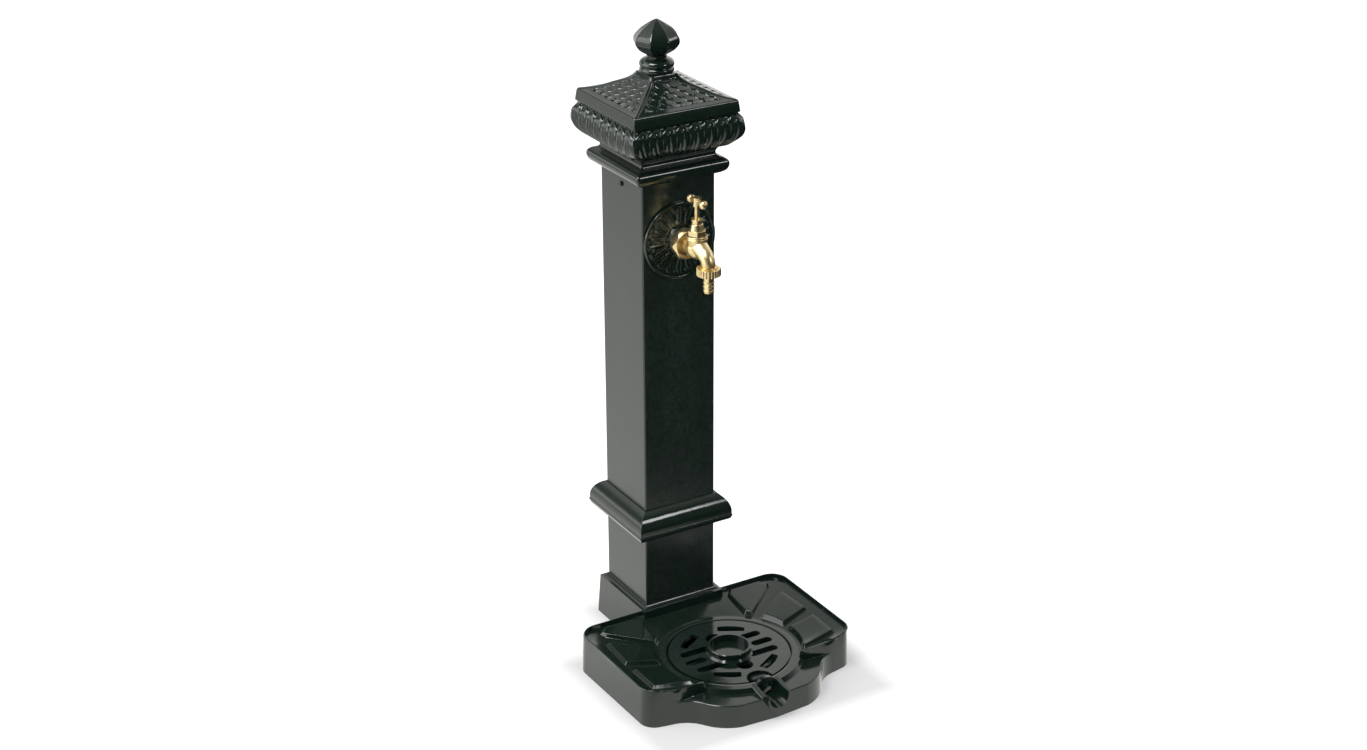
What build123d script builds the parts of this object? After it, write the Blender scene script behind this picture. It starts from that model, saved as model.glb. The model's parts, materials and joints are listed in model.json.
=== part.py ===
from build123d import *
import os
from math import cos, radians, sin, tan

# Garden water post with a bib tap and a drip tray, in millimetres.
# The origin is on the ground, under the middle of the whole object.
# +Z is up, the tap and the tray's gutter point along -Y.

# Square post
post_width = 120.0
post_wall = 3.0
post_corner = 3.0
post_height = 680.0
post_foot_plate = 8.0
post_half = post_width / 2
post_inner_half = post_half - post_wall

# Plinth under the post
plinth_margin = 12.5
plinth_half = post_half + plinth_margin
plinth_draft = 2.8
plinth_edge_z = 65.0
plinth_ledge_z = 70.0
plinth_wall = 6.0
plinth_top_plate = 8.0
post_seat_depth = 8.0
post_foot_z = plinth_ledge_z - post_seat_depth
post_top_z = post_foot_z + post_height

# Drip tray, its outline at the ground
tray_half = 181.0
tray_back = 55.0
tray_corner = 28.0
tray_draft = 1.9
tray_wall = 5.0
tray_side_front = 245.0
tray_side_step = 2.5
tray_front_corner_mid = (-173.0, -261.0)
tray_front_corner = (-158.0, -269.5)
tray_bow_start = (-143.0, -272.5)
tray_bow_hollow = (-115.0, -283.0)
tray_bow_turn = (-102.0, -297.0)
tray_bow_shoulder = (-84.0, -317.0)
tray_bow_end = (-57.0, -330.0)
tray_bow_front = 334.0
lip_z = 61.5
lip_width = 2.8
lip_low_z = 43.0
lip_low_x = 84.0
lip_high_x = 158.0
deck_front = 271.5
deck_outer_z = 54.7
deck_ring_z = 43.0
deck_plate = 6.0
apron_z = 36.0
apron_slope = 11.0

# Grate well in the middle of the tray
well_y = -201.6
ring_r = 105.0
well_r = 93.0
well_ledge = 7.0
sump_r = well_r - well_ledge
sump_z = 20.0

# Raised pads round the well
pad_ring_r = 109.0
pad_inner_z = 49.6
pad_outer_z = 59.2

# Gutter at the front of the tray
gutter_r = 15.0
gutter_z = 18.0
gutter_wall = 3.5
gutter_mouth_half = 19.5
cheek_half = 26.0
cheek_z = 45.0
cheek_lean = 1.5
cheek_bevel = 2.0
cheek_back = 302.0
cheek_front = 337.0
gutter_tip = 340.0
bridge_back = 290.0
bridge_front = 304.0
bridge_z = 35.0

# Lift-out grate
grate_r = 90.6
grate_plate = 6.0
cup_r = 32.5
cup_wall = 3.5
cup_rim_z = 54.5
cup_floor_z = 43.0
cup_foot = 3.0
cup_chamfer = 1.0
slot_width = 14.0
slot_pitch = 24.5
slot_inner_x = 40.0
slot_outer_x = 74.5
side_slot_inner_x = 20.0
side_slot_outer_x = 69.0
corner_slot_chord = 59.0
corner_slot_r = 73.5
corner_slot_angle = 60.0
corner_slot_from = -25.0
corner_slot_to = 16.0
drain_hole_r = 12.5
drain_hole_y = 44.0
notch_r = 20.0
notch_y = 86.5

# Band round the post
band_low_z = 190.0
band_high_z = 231.0
band_reach = 19.5
band_half = post_half + band_reach
band_top_half = post_half + 1.0
band_shoulder = (post_half + 15.0, 218.5)
band_full_z = 205.0
band_bead_top_z = 199.0
band_bead_z = 194.0
band_bead = 0.9
band_foot_reach = 18.0
band_foot_half = post_half + band_foot_reach

# Capital on the post
torus_reach = 16.3
torus_half = post_half + torus_reach
torus_mid = 14.0
torus_top = (post_half + 6.0, 26.0)
neck = (post_half + 1.8, 33.0)
neck_top = (post_half + 6.0, 41.0)
leaf_foot_reach = 27.0
leaf_foot = (post_half + leaf_foot_reach, 55.0)
leaf_reach = 35.8
leaf_half = post_half + leaf_reach
leaf_mid = 74.0
leaf_top_reach = 28.0
leaf_top = (post_half + leaf_top_reach, 91.0)
capital_height = 94.0
capital_wall = 9.0
spigot_depth = 27.0
spigot_wall = 7.0
capital_screw_drop = 12.0
capital_z = post_top_z
roof_z = capital_z + capital_height

# Roof
roof_reach = 26.5
roof_half = post_half + roof_reach
eaves_reach = 24.5
eaves_half = post_half + eaves_reach
eaves_rise = 17.0
roof_top_half = 20.5
roof_hollow = (roof_top_half + 0.4766 * (eaves_half - roof_top_half), 29.0)
roof_height = 50.0
roof_wall = 5.0
roof_top_z = roof_z + roof_height

# Finial and its collar
collar_height = 22.0
collar_base_r = 23.5
collar_foot = (24.5, 2.6)
collar_waist = (23.4, 8.0)
collar_roll = (23.8, 13.6)
collar_top_r = 15.5
finial_height = 55.0
finial_facets = 8
finial_neck_r = 14.4
finial_neck_t = 3.3
finial_cup = (22.2, 10.5)
finial_full = (31.2, 24.2)
finial_belly = (29.0, 34.1)
finial_crown = (23.1, 42.1)
finial_tip = (13.1, 49.5)
collar_z = roof_top_z
finial_z = collar_z + collar_height

# Tie rod through the cap
stud_r = 5.0
stud_in_finial = 24.0
nut_height = 8.0
nut_flats = 17.0
washer_t = 2.0
washer_r = 12.0

# Small screws
screw_r = 2.5
screw_head_r = 4.2
screw_head = 2.6
screw_slot = 1.0
screw_head_taper = 15.0
foot_bolt_r = 4.0
foot_bolt_reach = 40.0
bolt_head = 5.5
bolt_flats = 13.0
bolt_washer_r = 8.0
bolt_washer_t = 1.6
tray_bolt_r = 4.0
tray_bolt_x = 40.0
tray_bolt_z = 24.0
tray_nut_t = 7.0
tray_bolt_end = 1.0
band_screw_x = 30.0
band_screw_r = 2.5

# Tap, measured out from the front face of the post
tap_drop = 89.5
tap_z = post_top_z - tap_drop
rosette_r = 58.5
rosette_plate_t = 2.5
rosette_rim_t = 4.5
rosette_rim = 4.0
rosette_boss_r = 20.0
rosette_t = 7.5
rosette_rim_taper = 12.0
rosette_boss_taper = 8.0
petal_count = 16
petal_inner_r = 22.0
petal_outer_r = 50.0
petal_wide_r = 40.0
petal_half = 4.6
petal_t = 1.3
thread_r = 10.48
tail_inside = 30.0
flange_r = 23.6
flange_t = 20.0
flange_flats = 42.0
flange_dish = 5.0
flange_edge = 4.0
flange_swell = 9.0
flange_round = (16.0, 1.2)
valve_out = 50.0
outlet_out = 82.0
tap_bore_r = 4.5
neck_r = 11.5
globe_r = 14.7
globe_drop = 13.0
globe_low_z = tap_z - globe_drop
globe_full_z = tap_z + 9.0
globe_cheek = (11.8, 6.0)
globe_rise = 23.0
globe_top_z = tap_z + globe_rise
bead_r = 15.4
bead_t = 3.2
seat_z = tap_z + 8.0
seat_t = 3.0
seat_r = 5.0
lower_chamber_r = 8.0
lower_chamber_z = tap_z - 7.0
chamber_r = 9.5
spout_root_r = 13.0
spout_mouth_r = 9.2
spout_bore_r = 5.5
spout_rise = 9.0
spout_start_z = tap_z + spout_rise
spout_knee_z = tap_z - 4.0
spout_bend = 20.0
union_thread_r = 13.0
union_thread_t = 6.0

# Headwork
bonnet_washer_t = 1.0
bonnet_thread_t = 5.0
bonnet_hex_t = 7.0
bonnet_flats = 24.0
bonnet_cone_t = 10.0
bonnet_cone_r = 10.5
bonnet_neck_r = 7.0
bonnet_neck_t = 4.0
bonnet_shoulder = 1.5
bonnet_guide = 1.0
gland_cup_r = 6.0
gland_cup_t = 6.0
packing_t = 3.5
gland_nut_r = 8.7
gland_flange_t = 2.2
gland_body_r = 7.8
gland_top_t = 2.5
spindle_r = 4.0
spindle_thread_r = 4.9
spindle_thread_t = 15.0
jumper_r = 7.5
jumper_t = 3.0
jumper_stem_r = 2.4
jumper_stem = 6.0
valve_washer_r = 7.2
valve_washer_t = 2.5
washer_nut_r = 3.6
washer_nut_t = 2.5

# Crutch handle
handle_rise = 73.0
handle_z = tap_z + handle_rise
handle_half = 17.0
handle_end_r = 6.2
handle_bar_r = 4.0
handle_hub_r = 6.0
handle_hub_t = 13.0
handle_cap_t = 1.0
pin_r = 1.2

# Hose union
union_r = 17.5
union_drop = 26.5
union_low_z = tap_z - union_drop
union_height = 10.5
union_high_z = union_low_z + union_height
union_floor = 2.5
union_ribs = 24
union_rib_r = 1.2
tail_flange_r = 12.3
tail_flange_t = 2.0
hose_washer_t = 1.5
hose_washer_r = 12.0
hose_tail_drop = 53.0
hose_tail_low_z = tap_z - hose_tail_drop
hose_tail_r = 7.5
hose_barb_r = 8.4
hose_bore_r = 5.5
hose_barbs = 3
hose_barb_pitch = 6.0
hose_land = 5.0
hose_barb_tip = 0.6
hose_barb_step = 0.5
hose_barb_crest = 1.0

# Supply inside the post
lock_nut_flats = 27.0
lock_nut_t = 6.0
wall_washer_r = 17.0
wall_washer_t = 1.5
elbow_r = 14.5
pipe_r = 10.65
pipe_bore_r = 8.0
elbow_socket = 14.0
elbow_drop = 30.0
coupling_r = 15.0
coupling_z = 8.0
coupling_height = 34.0
inlet_thread_r = 9.3
inlet_thread = 15.0
grommet_flange_r = 17.0
grommet_flange_t = 2.0
grommet_r = 14.0

# Clearances between pieces
slip = 0.1
turn_gap = 0.06
seat_gap = 0.3
rest_gap = 0.05

front_reach = gutter_tip
column_y = (front_reach - leaf_half) / 2
post_axis = Axis((0, column_y, 0), (0, 0, 1))
face_y = -post_half


def level(z, y=0.0, x=0.0):
    """Horizontal plane at height z, measured from the post's axis."""
    return Plane((x, column_y + y, z))


def upright(y, x=0.0, z=0.0):
    """Plane that faces the front, y from the post's axis, with z up."""
    return Plane(origin=(x, column_y + y, z), x_dir=(1, 0, 0), z_dir=(0, -1, 0))


def sideways(x, y=0.0):
    """Plane that faces +X, with y across and z up."""
    return Plane(origin=(x, column_y + y, 0), x_dir=(0, 1, 0), z_dir=(1, 0, 0))


def crossed(outline, reach, turns):
    """Runs a silhouette straight through the post's axis, once for each turn,
    and keeps what all the runs share: a square or many-sided moulding."""
    with BuildPart() as runs:
        extrude(outline, amount=reach, both=True)
        for turn in turns:
            extrude(outline.rotate(post_axis, turn), amount=reach, both=True, mode=Mode.INTERSECT)
    return runs.part


def save(piece, name):
    """Labels a finished piece and writes its file."""
    piece.part.label = name
    export_step(piece.part, f"parts/{name}.step")


os.makedirs("parts", exist_ok=True)

# Plinth: drafted casting with a sloped ledge, hollow from below
plinth_edge_half = plinth_half - plinth_edge_z * tan(radians(plinth_draft))
seat_half = post_half + seat_gap
plinth_plate_z = post_foot_z - plinth_top_plate
with BuildSketch(upright(0)) as plinth_outline:
    with BuildLine():
        side = Polyline((0, 0), (plinth_half, 0), (plinth_edge_half, plinth_edge_z))
        ledge = RadiusArc(side @ 1, (seat_half, plinth_ledge_z), plinth_edge_half - seat_half)
        Polyline(ledge @ 1, (0, plinth_ledge_z), (0, 0))
    make_face()
    mirror(about=Plane.YZ)
with BuildPart() as plinth:
    add(crossed(plinth_outline.sketch, plinth_half, [90]))
    with BuildSketch(level(post_foot_z)):
        Rectangle(2 * seat_half, 2 * seat_half)
    extrude(amount=post_seat_depth, mode=Mode.SUBTRACT)
    with BuildSketch(level(0)):
        hollow_half = plinth_edge_half - plinth_wall
        Rectangle(2 * hollow_half, 2 * hollow_half)
    extrude(amount=plinth_plate_z, mode=Mode.SUBTRACT)
    with BuildSketch(level(plinth_plate_z)):
        Circle(grommet_flange_r + slip)
        with GridLocations(2 * foot_bolt_reach, 2 * foot_bolt_reach, 2, 2):
            Circle(foot_bolt_r + seat_gap)
    extrude(amount=plinth_top_plate, mode=Mode.SUBTRACT)
    with BuildSketch(upright(0, z=tray_bolt_z)):
        with Locations((-tray_bolt_x, 0), (tray_bolt_x, 0)):
            Circle(tray_bolt_r + slip)
    extrude(amount=plinth_half, mode=Mode.SUBTRACT)
save(plinth, "plinth")

# Post: square tube with a foot plate welded in
with BuildPart() as column_tube:
    with BuildSketch(level(post_foot_z)):
        RectangleRounded(post_width, post_width, post_corner)
        Rectangle(2 * post_inner_half, 2 * post_inner_half, mode=Mode.SUBTRACT)
    extrude(amount=post_height)
    with BuildSketch(level(post_foot_z)):
        Rectangle(2 * post_inner_half, 2 * post_inner_half)
        Circle(grommet_r + slip, mode=Mode.SUBTRACT)
        with GridLocations(2 * foot_bolt_reach, 2 * foot_bolt_reach, 2, 2):
            Circle(foot_bolt_r + slip, mode=Mode.SUBTRACT)
    extrude(amount=post_foot_plate)
    with BuildSketch(upright(0)):
        with Locations((0, tap_z)):
            Circle(thread_r + slip)
    extrude(amount=post_width, mode=Mode.SUBTRACT)
    for cross in (upright(0), sideways(0)):
        with BuildSketch(cross):
            with Locations((0, post_top_z - capital_screw_drop)):
                Circle(screw_r + slip)
        extrude(amount=post_width, both=True, mode=Mode.SUBTRACT)
save(column_tube, "column_tube")

# Foot bolts with their washers, up through the plinth into the foot plate
foot_bolt_places = GridLocations(2 * foot_bolt_reach, 2 * foot_bolt_reach, 2, 2)
foot_washer_z = plinth_plate_z - bolt_washer_t
with BuildPart() as foot_washers:
    with BuildSketch(level(foot_washer_z)):
        with foot_bolt_places:
            Circle(bolt_washer_r)
            Circle(foot_bolt_r + slip, mode=Mode.SUBTRACT)
    extrude(amount=bolt_washer_t)
save(foot_washers, "foot_washers")
with BuildPart() as foot_bolts:
    with BuildSketch(level(foot_washer_z - bolt_head)):
        with foot_bolt_places:
            RegularPolygon(bolt_flats / 2, 6, major_radius=False)
    extrude(amount=bolt_head)
    with BuildSketch(level(foot_washer_z)):
        with foot_bolt_places:
            Circle(foot_bolt_r)
    extrude(amount=bolt_washer_t + plinth_top_plate + post_foot_plate)
save(foot_bolts, "foot_bolts")

# Band: square ovolo moulding slid over the post
with BuildSketch(upright(0)) as band_outline:
    with BuildLine():
        foot = Polyline((0, band_low_z), (band_foot_half, band_low_z), (band_half, band_bead_z))
        bead = ThreePointArc(
            foot @ 1,
            (band_half + band_bead, (band_bead_z + band_bead_top_z) / 2),
            (band_half, band_bead_top_z),
        )
        full = Line(bead @ 1, (band_half, band_full_z))
        swell = ThreePointArc(full @ 1, band_shoulder, (band_top_half, band_high_z))
        Polyline(swell @ 1, (0, band_high_z), (0, band_low_z))
    make_face()
    mirror(about=Plane.YZ)
with BuildPart() as column_band:
    add(crossed(band_outline.sketch, band_half + band_bead, [90]))
    with BuildSketch(level(band_low_z)):
        Rectangle(2 * seat_half, 2 * seat_half)
    extrude(amount=band_high_z - band_low_z, mode=Mode.SUBTRACT)
    with BuildSketch(upright(0, z=(band_bead_top_z + band_full_z) / 2)):
        with Locations((-band_screw_x, 0), (band_screw_x, 0)):
            Circle(band_screw_r + slip)
    extrude(amount=-2 * band_half, mode=Mode.SUBTRACT)
save(column_band, "column_band")

# Band screws: headless, through the back of the band against the post
with BuildPart() as band_screws:
    with BuildSketch(upright(post_half, z=(band_bead_top_z + band_full_z) / 2)):
        with Locations((-band_screw_x, 0), (band_screw_x, 0)):
            Circle(band_screw_r)
    extrude(amount=-(band_half - post_half - screw_slot))
save(band_screws, "band_screws")

# Capital: torus, hollow neck and leaf moulding, with a spigot inside the post
spigot_half = post_inner_half - seat_gap
with BuildSketch(upright(0, z=capital_z)) as capital_outline:
    with BuildLine():
        under = Line((0, 0), (post_half, 0))
        torus = ThreePointArc(under @ 1, (torus_half, torus_mid), torus_top)
        hollow = ThreePointArc(torus @ 1, neck, neck_top)
        splay = Line(hollow @ 1, leaf_foot)
        leaf = ThreePointArc(splay @ 1, (leaf_half, leaf_mid), leaf_top)
        Polyline(leaf @ 1, (roof_half - lip_width, capital_height), (0, capital_height), (0, 0))
    make_face()
    mirror(about=Plane.YZ)
with BuildPart() as capital:
    add(crossed(capital_outline.sketch, leaf_half, [90]))
    with BuildSketch(level(capital_z)):
        Rectangle(2 * spigot_half, 2 * spigot_half)
    extrude(amount=-spigot_depth)
    with BuildSketch(level(capital_z - spigot_depth)):
        spigot_inner = spigot_half - spigot_wall
        Rectangle(2 * spigot_inner, 2 * spigot_inner)
    extrude(amount=spigot_depth + capital_height - capital_wall, mode=Mode.SUBTRACT)
    with BuildSketch(level(capital_z)):
        Circle(stud_r + seat_gap)
    extrude(amount=capital_height, mode=Mode.SUBTRACT)
    for cross in (upright(0), sideways(0)):
        with BuildSketch(cross):
            with Locations((0, post_top_z - capital_screw_drop)):
                Circle(screw_r + slip)
        extrude(amount=post_width, both=True, mode=Mode.SUBTRACT)
save(capital, "capital")

# Capital screws: one pan head in the middle of each face
screw_reach = post_half - spigot_inner
with BuildPart() as capital_screws:
    for turn in range(0, 360, 90):
        outward = Vector(sin(radians(turn)), -cos(radians(turn)), 0)
        on_face = Vector(0, column_y, post_top_z - capital_screw_drop) + outward * post_half
        with BuildSketch(Plane(on_face, z_dir=outward)):
            Circle(screw_head_r)
        extrude(amount=screw_head, taper=screw_head_taper)
        with BuildSketch(Plane(on_face, z_dir=-outward)):
            Circle(screw_r)
        extrude(amount=screw_reach)
        with BuildSketch(Plane(on_face + outward * screw_head, z_dir=-outward)):
            Rectangle(2 * screw_head_r, screw_slot)
        extrude(amount=screw_slot, mode=Mode.SUBTRACT)
save(capital_screws, "capital_screws")

# Roof: fascia and concave pyramid, hollow from below
with BuildSketch(upright(0, z=roof_z)) as roof_outline:
    with BuildLine():
        fascia = Polyline((0, 0), (roof_half, 0), (eaves_half, eaves_rise))
        slope = ThreePointArc(fascia @ 1, roof_hollow, (roof_top_half, roof_height))
        Polyline(slope @ 1, (0, roof_height), (0, 0))
    make_face()
    mirror(about=Plane.YZ)
with BuildSketch(upright(0, z=roof_z)) as roof_inside:
    with BuildLine():
        rise = Polyline((0, 0), (eaves_half - roof_wall, 0), (eaves_half - roof_wall, eaves_rise - roof_wall))
        sky = ThreePointArc(
            rise @ 1,
            (roof_hollow[0] - roof_wall, roof_hollow[1] - roof_wall),
            (roof_top_half - roof_wall, roof_height - 2 * roof_wall),
        )
        Polyline(sky @ 1, (0, roof_height - 2 * roof_wall), (0, 0))
    make_face()
    mirror(about=Plane.YZ)
with BuildPart() as roof_cap:
    add(crossed(roof_outline.sketch, roof_half, [90]))
    add(crossed(roof_inside.sketch, roof_half, [90]), mode=Mode.SUBTRACT)
    with BuildSketch(level(roof_z)):
        Circle(stud_r + seat_gap)
    extrude(amount=roof_height, mode=Mode.SUBTRACT)
save(roof_cap, "roof_cap")

# Collar between roof and finial: two rounded rolls
with BuildPart() as finial_collar:
    with BuildSketch(upright(0, z=collar_z)):
        with BuildLine():
            foot = Line((0, 0), (collar_base_r, 0))
            low = ThreePointArc(foot @ 1, collar_foot, collar_waist)
            high = ThreePointArc(low @ 1, collar_roll, (collar_top_r, collar_height))
            Polyline(high @ 1, (0, collar_height), (0, 0))
        make_face()
    revolve(axis=post_axis)
    with BuildSketch(level(collar_z)):
        Circle(stud_r + seat_gap)
    extrude(amount=collar_height, mode=Mode.SUBTRACT)
save(finial_collar, "finial_collar")

# Finial: eight-sided onion, its tip a shallow dome
with BuildSketch(upright(0, z=finial_z)) as finial_outline:
    with BuildLine():
        foot = Polyline((0, 0), (finial_neck_r, 0), (finial_neck_r, finial_neck_t))
        cup = ThreePointArc(foot @ 1, finial_cup, finial_full)
        belly = ThreePointArc(cup @ 1, finial_belly, finial_crown)
        crown = ThreePointArc(belly @ 1, finial_tip, (0, finial_height))
        Line(crown @ 1, (0, 0))
    make_face()
    mirror(about=Plane.YZ)
facet_turn = 360 / finial_facets
with BuildPart() as finial:
    onion = crossed(finial_outline.sketch, finial_full[0], [facet_turn * k for k in range(1, finial_facets // 2)])
    add(onion.rotate(post_axis, facet_turn / 2))
    with BuildSketch(level(finial_z)):
        Circle(stud_r + slip)
    extrude(amount=stud_in_finial + slip, mode=Mode.SUBTRACT)
save(finial, "finial")

# Tie rod, nut and washer that clamp the finial, collar and roof down
capital_plate_z = roof_z - capital_wall
stud_washer_z = capital_plate_z - washer_t
stud_nut_z = stud_washer_z - nut_height
stud_low_z = stud_nut_z - washer_t
with BuildPart() as finial_stud:
    with BuildSketch(level(stud_low_z)):
        Circle(stud_r)
    extrude(amount=finial_z + stud_in_finial - stud_low_z)
save(finial_stud, "finial_stud")
with BuildPart() as stud_washer:
    with BuildSketch(level(stud_washer_z)):
        Circle(washer_r)
        Circle(stud_r + slip, mode=Mode.SUBTRACT)
    extrude(amount=washer_t)
save(stud_washer, "stud_washer")
with BuildPart() as stud_nut:
    with BuildSketch(level(stud_nut_z)):
        RegularPolygon(nut_flats / 2, 6, major_radius=False)
        Circle(stud_r + slip, mode=Mode.SUBTRACT)
    extrude(amount=nut_height)
save(stud_nut, "stud_nut")

# Tray outline at the ground, one half mirrored
notch_half = plinth_half + slip
with BuildSketch(level(0)) as tray_outline:
    with BuildLine():
        back = Line((0, -tray_back), (tray_corner - tray_half, -tray_back))
        corner = TangentArc(back @ 1, (-tray_half, -tray_back - tray_corner), tangent=back % 1)
        side = Line(corner @ 1, (tray_side_step - tray_half, -tray_side_front))
        turn = ThreePointArc(side @ 1, tray_front_corner_mid, tray_front_corner)
        front = Line(turn @ 1, tray_bow_start)
        dip = ThreePointArc(front @ 1, tray_bow_hollow, tray_bow_turn)
        bow = ThreePointArc(dip @ 1, tray_bow_shoulder, tray_bow_end)
        Polyline(bow @ 1, (0, -tray_bow_front), (0, -tray_back))
    make_face()
    mirror(about=Plane.YZ)

# Plinth-shaped room that the tray's back edge fits round
with BuildPart() as plinth_room:
    with BuildSketch(level(0)):
        Rectangle(2 * notch_half, 2 * notch_half)
    extrude(amount=plinth_ledge_z, taper=plinth_draft)

# Deck of the tray: a funnel from the well's ring up to the lip
lip_half = tray_half - lip_z * tan(radians(tray_draft)) - lip_width
lip_back = tray_back + lip_z * tan(radians(tray_draft)) + lip_width
deck_depth_half = -well_y - lip_back


def funnel(ring_z, outer_z):
    """Everything above a dished deck: a round ring lofted to a rounded rectangle."""
    with BuildPart() as room:
        with BuildSketch(level(ring_z, well_y)):
            Circle(ring_r)
        with BuildSketch(level(outer_z, well_y)):
            RectangleRounded(2 * lip_half, 2 * deck_depth_half, tray_corner - lip_width)
        loft()
        with BuildSketch(level(outer_z, well_y)):
            RectangleRounded(2 * lip_half, 2 * deck_depth_half, tray_corner - lip_width)
        extrude(amount=lip_z)
    return room.part


deck_room = funnel(deck_ring_z, deck_outer_z)
pad_room = funnel(pad_inner_z, pad_outer_z)

# The pool inside the lip, as seen from above
pool_front = deck_front - lip_width
with BuildSketch(level(apron_z)) as pool_plan:
    with Locations((0, -(lip_back + pool_front) / 2)):
        RectangleRounded(2 * lip_half, pool_front - lip_back, tray_corner - lip_width)
with BuildPart() as pool_cut:
    extrude(pool_plan.sketch, amount=lip_z)
    add(deck_room, mode=Mode.INTERSECT)

# Room above the front apron, left of the sloped ring and the deck's front wall
with BuildPart() as apron_room:
    with BuildSketch(level(apron_z)):
        with Locations((0, -deck_front - tray_half / 2)):
            Rectangle(3 * tray_half, tray_half)
    extrude(amount=lip_z)
    with BuildSketch(upright(well_y)):
        with BuildLine():
            Polyline(
                (0, apron_z),
                (ring_r + apron_slope, apron_z),
                (ring_r, deck_ring_z),
                (0, deck_ring_z),
                close=True,
            )
        make_face()
    revolve(axis=Axis((0, column_y + well_y, 0), (0, 0, 1)), mode=Mode.SUBTRACT)

# The front lip slopes down to nothing at the ring
with BuildPart() as lip_slope:
    with BuildSketch(upright(-lip_back - deck_depth_half)):
        with BuildLine():
            Polyline(
                (0, lip_low_z),
                (lip_low_x, lip_low_z),
                (lip_high_x, lip_z),
                (lip_high_x, 2 * lip_z),
                (0, 2 * lip_z),
                close=True,
            )
        make_face()
        mirror(about=Plane.YZ)
    extrude(amount=tray_half)
    with BuildSketch(level(lip_low_z)):
        with Locations((0, -pool_front + tray_half / 2)):
            Rectangle(3 * tray_half, tray_half)
    extrude(amount=2 * lip_z, mode=Mode.SUBTRACT)

# Six raised pads: plan corners from the well's middle, for the right half
pad_corners = [
    [(40.0, 84.0), (76.0, 127.0), (76.0, 138.0), (138.0, 138.0), (149.5, 127.0), (144.4, 116.5), (70.0, 56.3)],
    [(76.0, 50.5), (155.6, 98.6), (159.7, 31.4), (90.0, 14.2)],
    [(90.0, 6.8), (159.0, 11.6), (157.4, -46.9), (93.9, -57.2), (74.0, -47.0)],
]
with BuildSketch(level(apron_z, well_y)) as pad_plan:
    for corners in pad_corners:
        with BuildLine():
            Polyline(*corners, close=True)
        make_face()
    mirror(about=Plane.YZ)
    Circle(pad_ring_r, mode=Mode.SUBTRACT)
with BuildPart() as deck_pads:
    extrude(pad_plan.sketch, amount=pad_outer_z - apron_z)
    add(pad_room, mode=Mode.SUBTRACT)

# Underside of the tray: open below, one wall thick round well and gutter
gutter_centre_z = gutter_z + gutter_r
well_floor_z = deck_ring_z - grate_plate
with BuildPart() as tray_hollow:
    with BuildSketch(level(0)):
        add(tray_outline.sketch_local)
        offset(amount=-tray_wall, mode=Mode.REPLACE)
    extrude(amount=apron_z - deck_plate, taper=tray_draft)
    with BuildSketch(level(apron_z - 2 * deck_plate)):
        with Locations((0, -(lip_back + pool_front) / 2)):
            Rectangle(2 * lip_half - 4 * tray_wall, pool_front - lip_back - 3 * tray_wall)
    extrude(amount=lip_z)
    add(deck_room.moved(Location((0, 0, -deck_plate))), mode=Mode.SUBTRACT)
    with BuildSketch(level(0)):
        Rectangle(2 * (notch_half + tray_wall), 2 * (notch_half + tray_wall))
    extrude(amount=lip_z, mode=Mode.SUBTRACT)
    with BuildSketch(level(sump_z - deck_plate, well_y)):
        Circle(sump_r + tray_wall)
    extrude(amount=lip_z, mode=Mode.SUBTRACT)
    with BuildSketch(level(well_floor_z - deck_plate, well_y)):
        Circle(well_r + tray_wall)
    extrude(amount=lip_z, mode=Mode.SUBTRACT)
    with BuildSketch(upright(-bridge_back)):
        with Locations((0, gutter_centre_z)):
            Circle(gutter_r + gutter_wall)
            Rectangle(2 * (gutter_r + gutter_wall), lip_z, align=(Align.CENTER, Align.MIN))
    extrude(amount=tray_half, mode=Mode.SUBTRACT)

# Water way: from the sump under the bridge and out along the gutter
with BuildPart() as gutter_cut:
    with BuildSketch(upright(deck_plate - bridge_back)):
        with BuildLine():
            low = ThreePointArc((-gutter_r, gutter_centre_z), (0, gutter_z), (gutter_r, gutter_centre_z))
            ThreePointArc(low @ 1, (0, bridge_z), low @ 0)
        make_face()
    extrude(amount=bridge_front - bridge_back + deck_plate)
    with BuildSketch(upright(-bridge_front)):
        with BuildLine():
            low = ThreePointArc((-gutter_r, gutter_centre_z), (0, gutter_z), (gutter_r, gutter_centre_z))
            Polyline(low @ 1, (gutter_mouth_half, lip_z), (-gutter_mouth_half, lip_z), low @ 0)
        make_face()
    extrude(amount=gutter_tip)

with BuildPart() as tray:
    extrude(tray_outline.sketch, amount=lip_z, taper=tray_draft)
    add(apron_room.part, mode=Mode.SUBTRACT)
    add(pool_cut.part, mode=Mode.SUBTRACT)
    add(lip_slope.part, mode=Mode.SUBTRACT)
    add(deck_pads.part)
    with BuildSketch(upright(-cheek_back)):
        with BuildLine():
            Polyline(
                (-cheek_half, gutter_centre_z),
                (-cheek_half + cheek_lean, cheek_z - cheek_bevel),
                (-cheek_half + cheek_lean + cheek_bevel, cheek_z),
                (cheek_half - cheek_lean - cheek_bevel, cheek_z),
                (cheek_half - cheek_lean, cheek_z - cheek_bevel),
                (cheek_half, gutter_centre_z),
                close=True,
            )
        make_face()
    extrude(amount=cheek_front - cheek_back)
    with BuildSketch(upright(-cheek_back)):
        with Locations((0, gutter_centre_z)):
            Circle(gutter_r + gutter_wall)
    extrude(amount=gutter_tip - cheek_back)
    add(tray_hollow.part, mode=Mode.SUBTRACT)
    with BuildSketch(level(well_floor_z, well_y)):
        Circle(well_r)
    extrude(amount=lip_z, mode=Mode.SUBTRACT)
    with BuildSketch(level(sump_z, well_y)):
        Circle(sump_r)
    extrude(amount=lip_z, mode=Mode.SUBTRACT)
    add(gutter_cut.part, mode=Mode.SUBTRACT)
    add(plinth_room.part, mode=Mode.SUBTRACT)
    with BuildSketch(upright(0, z=tray_bolt_z)):
        with Locations((-tray_bolt_x, 0), (tray_bolt_x, 0)):
            Circle(tray_bolt_r + slip)
    extrude(amount=notch_half + 2 * tray_wall, mode=Mode.SUBTRACT)
save(tray, "tray")

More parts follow.
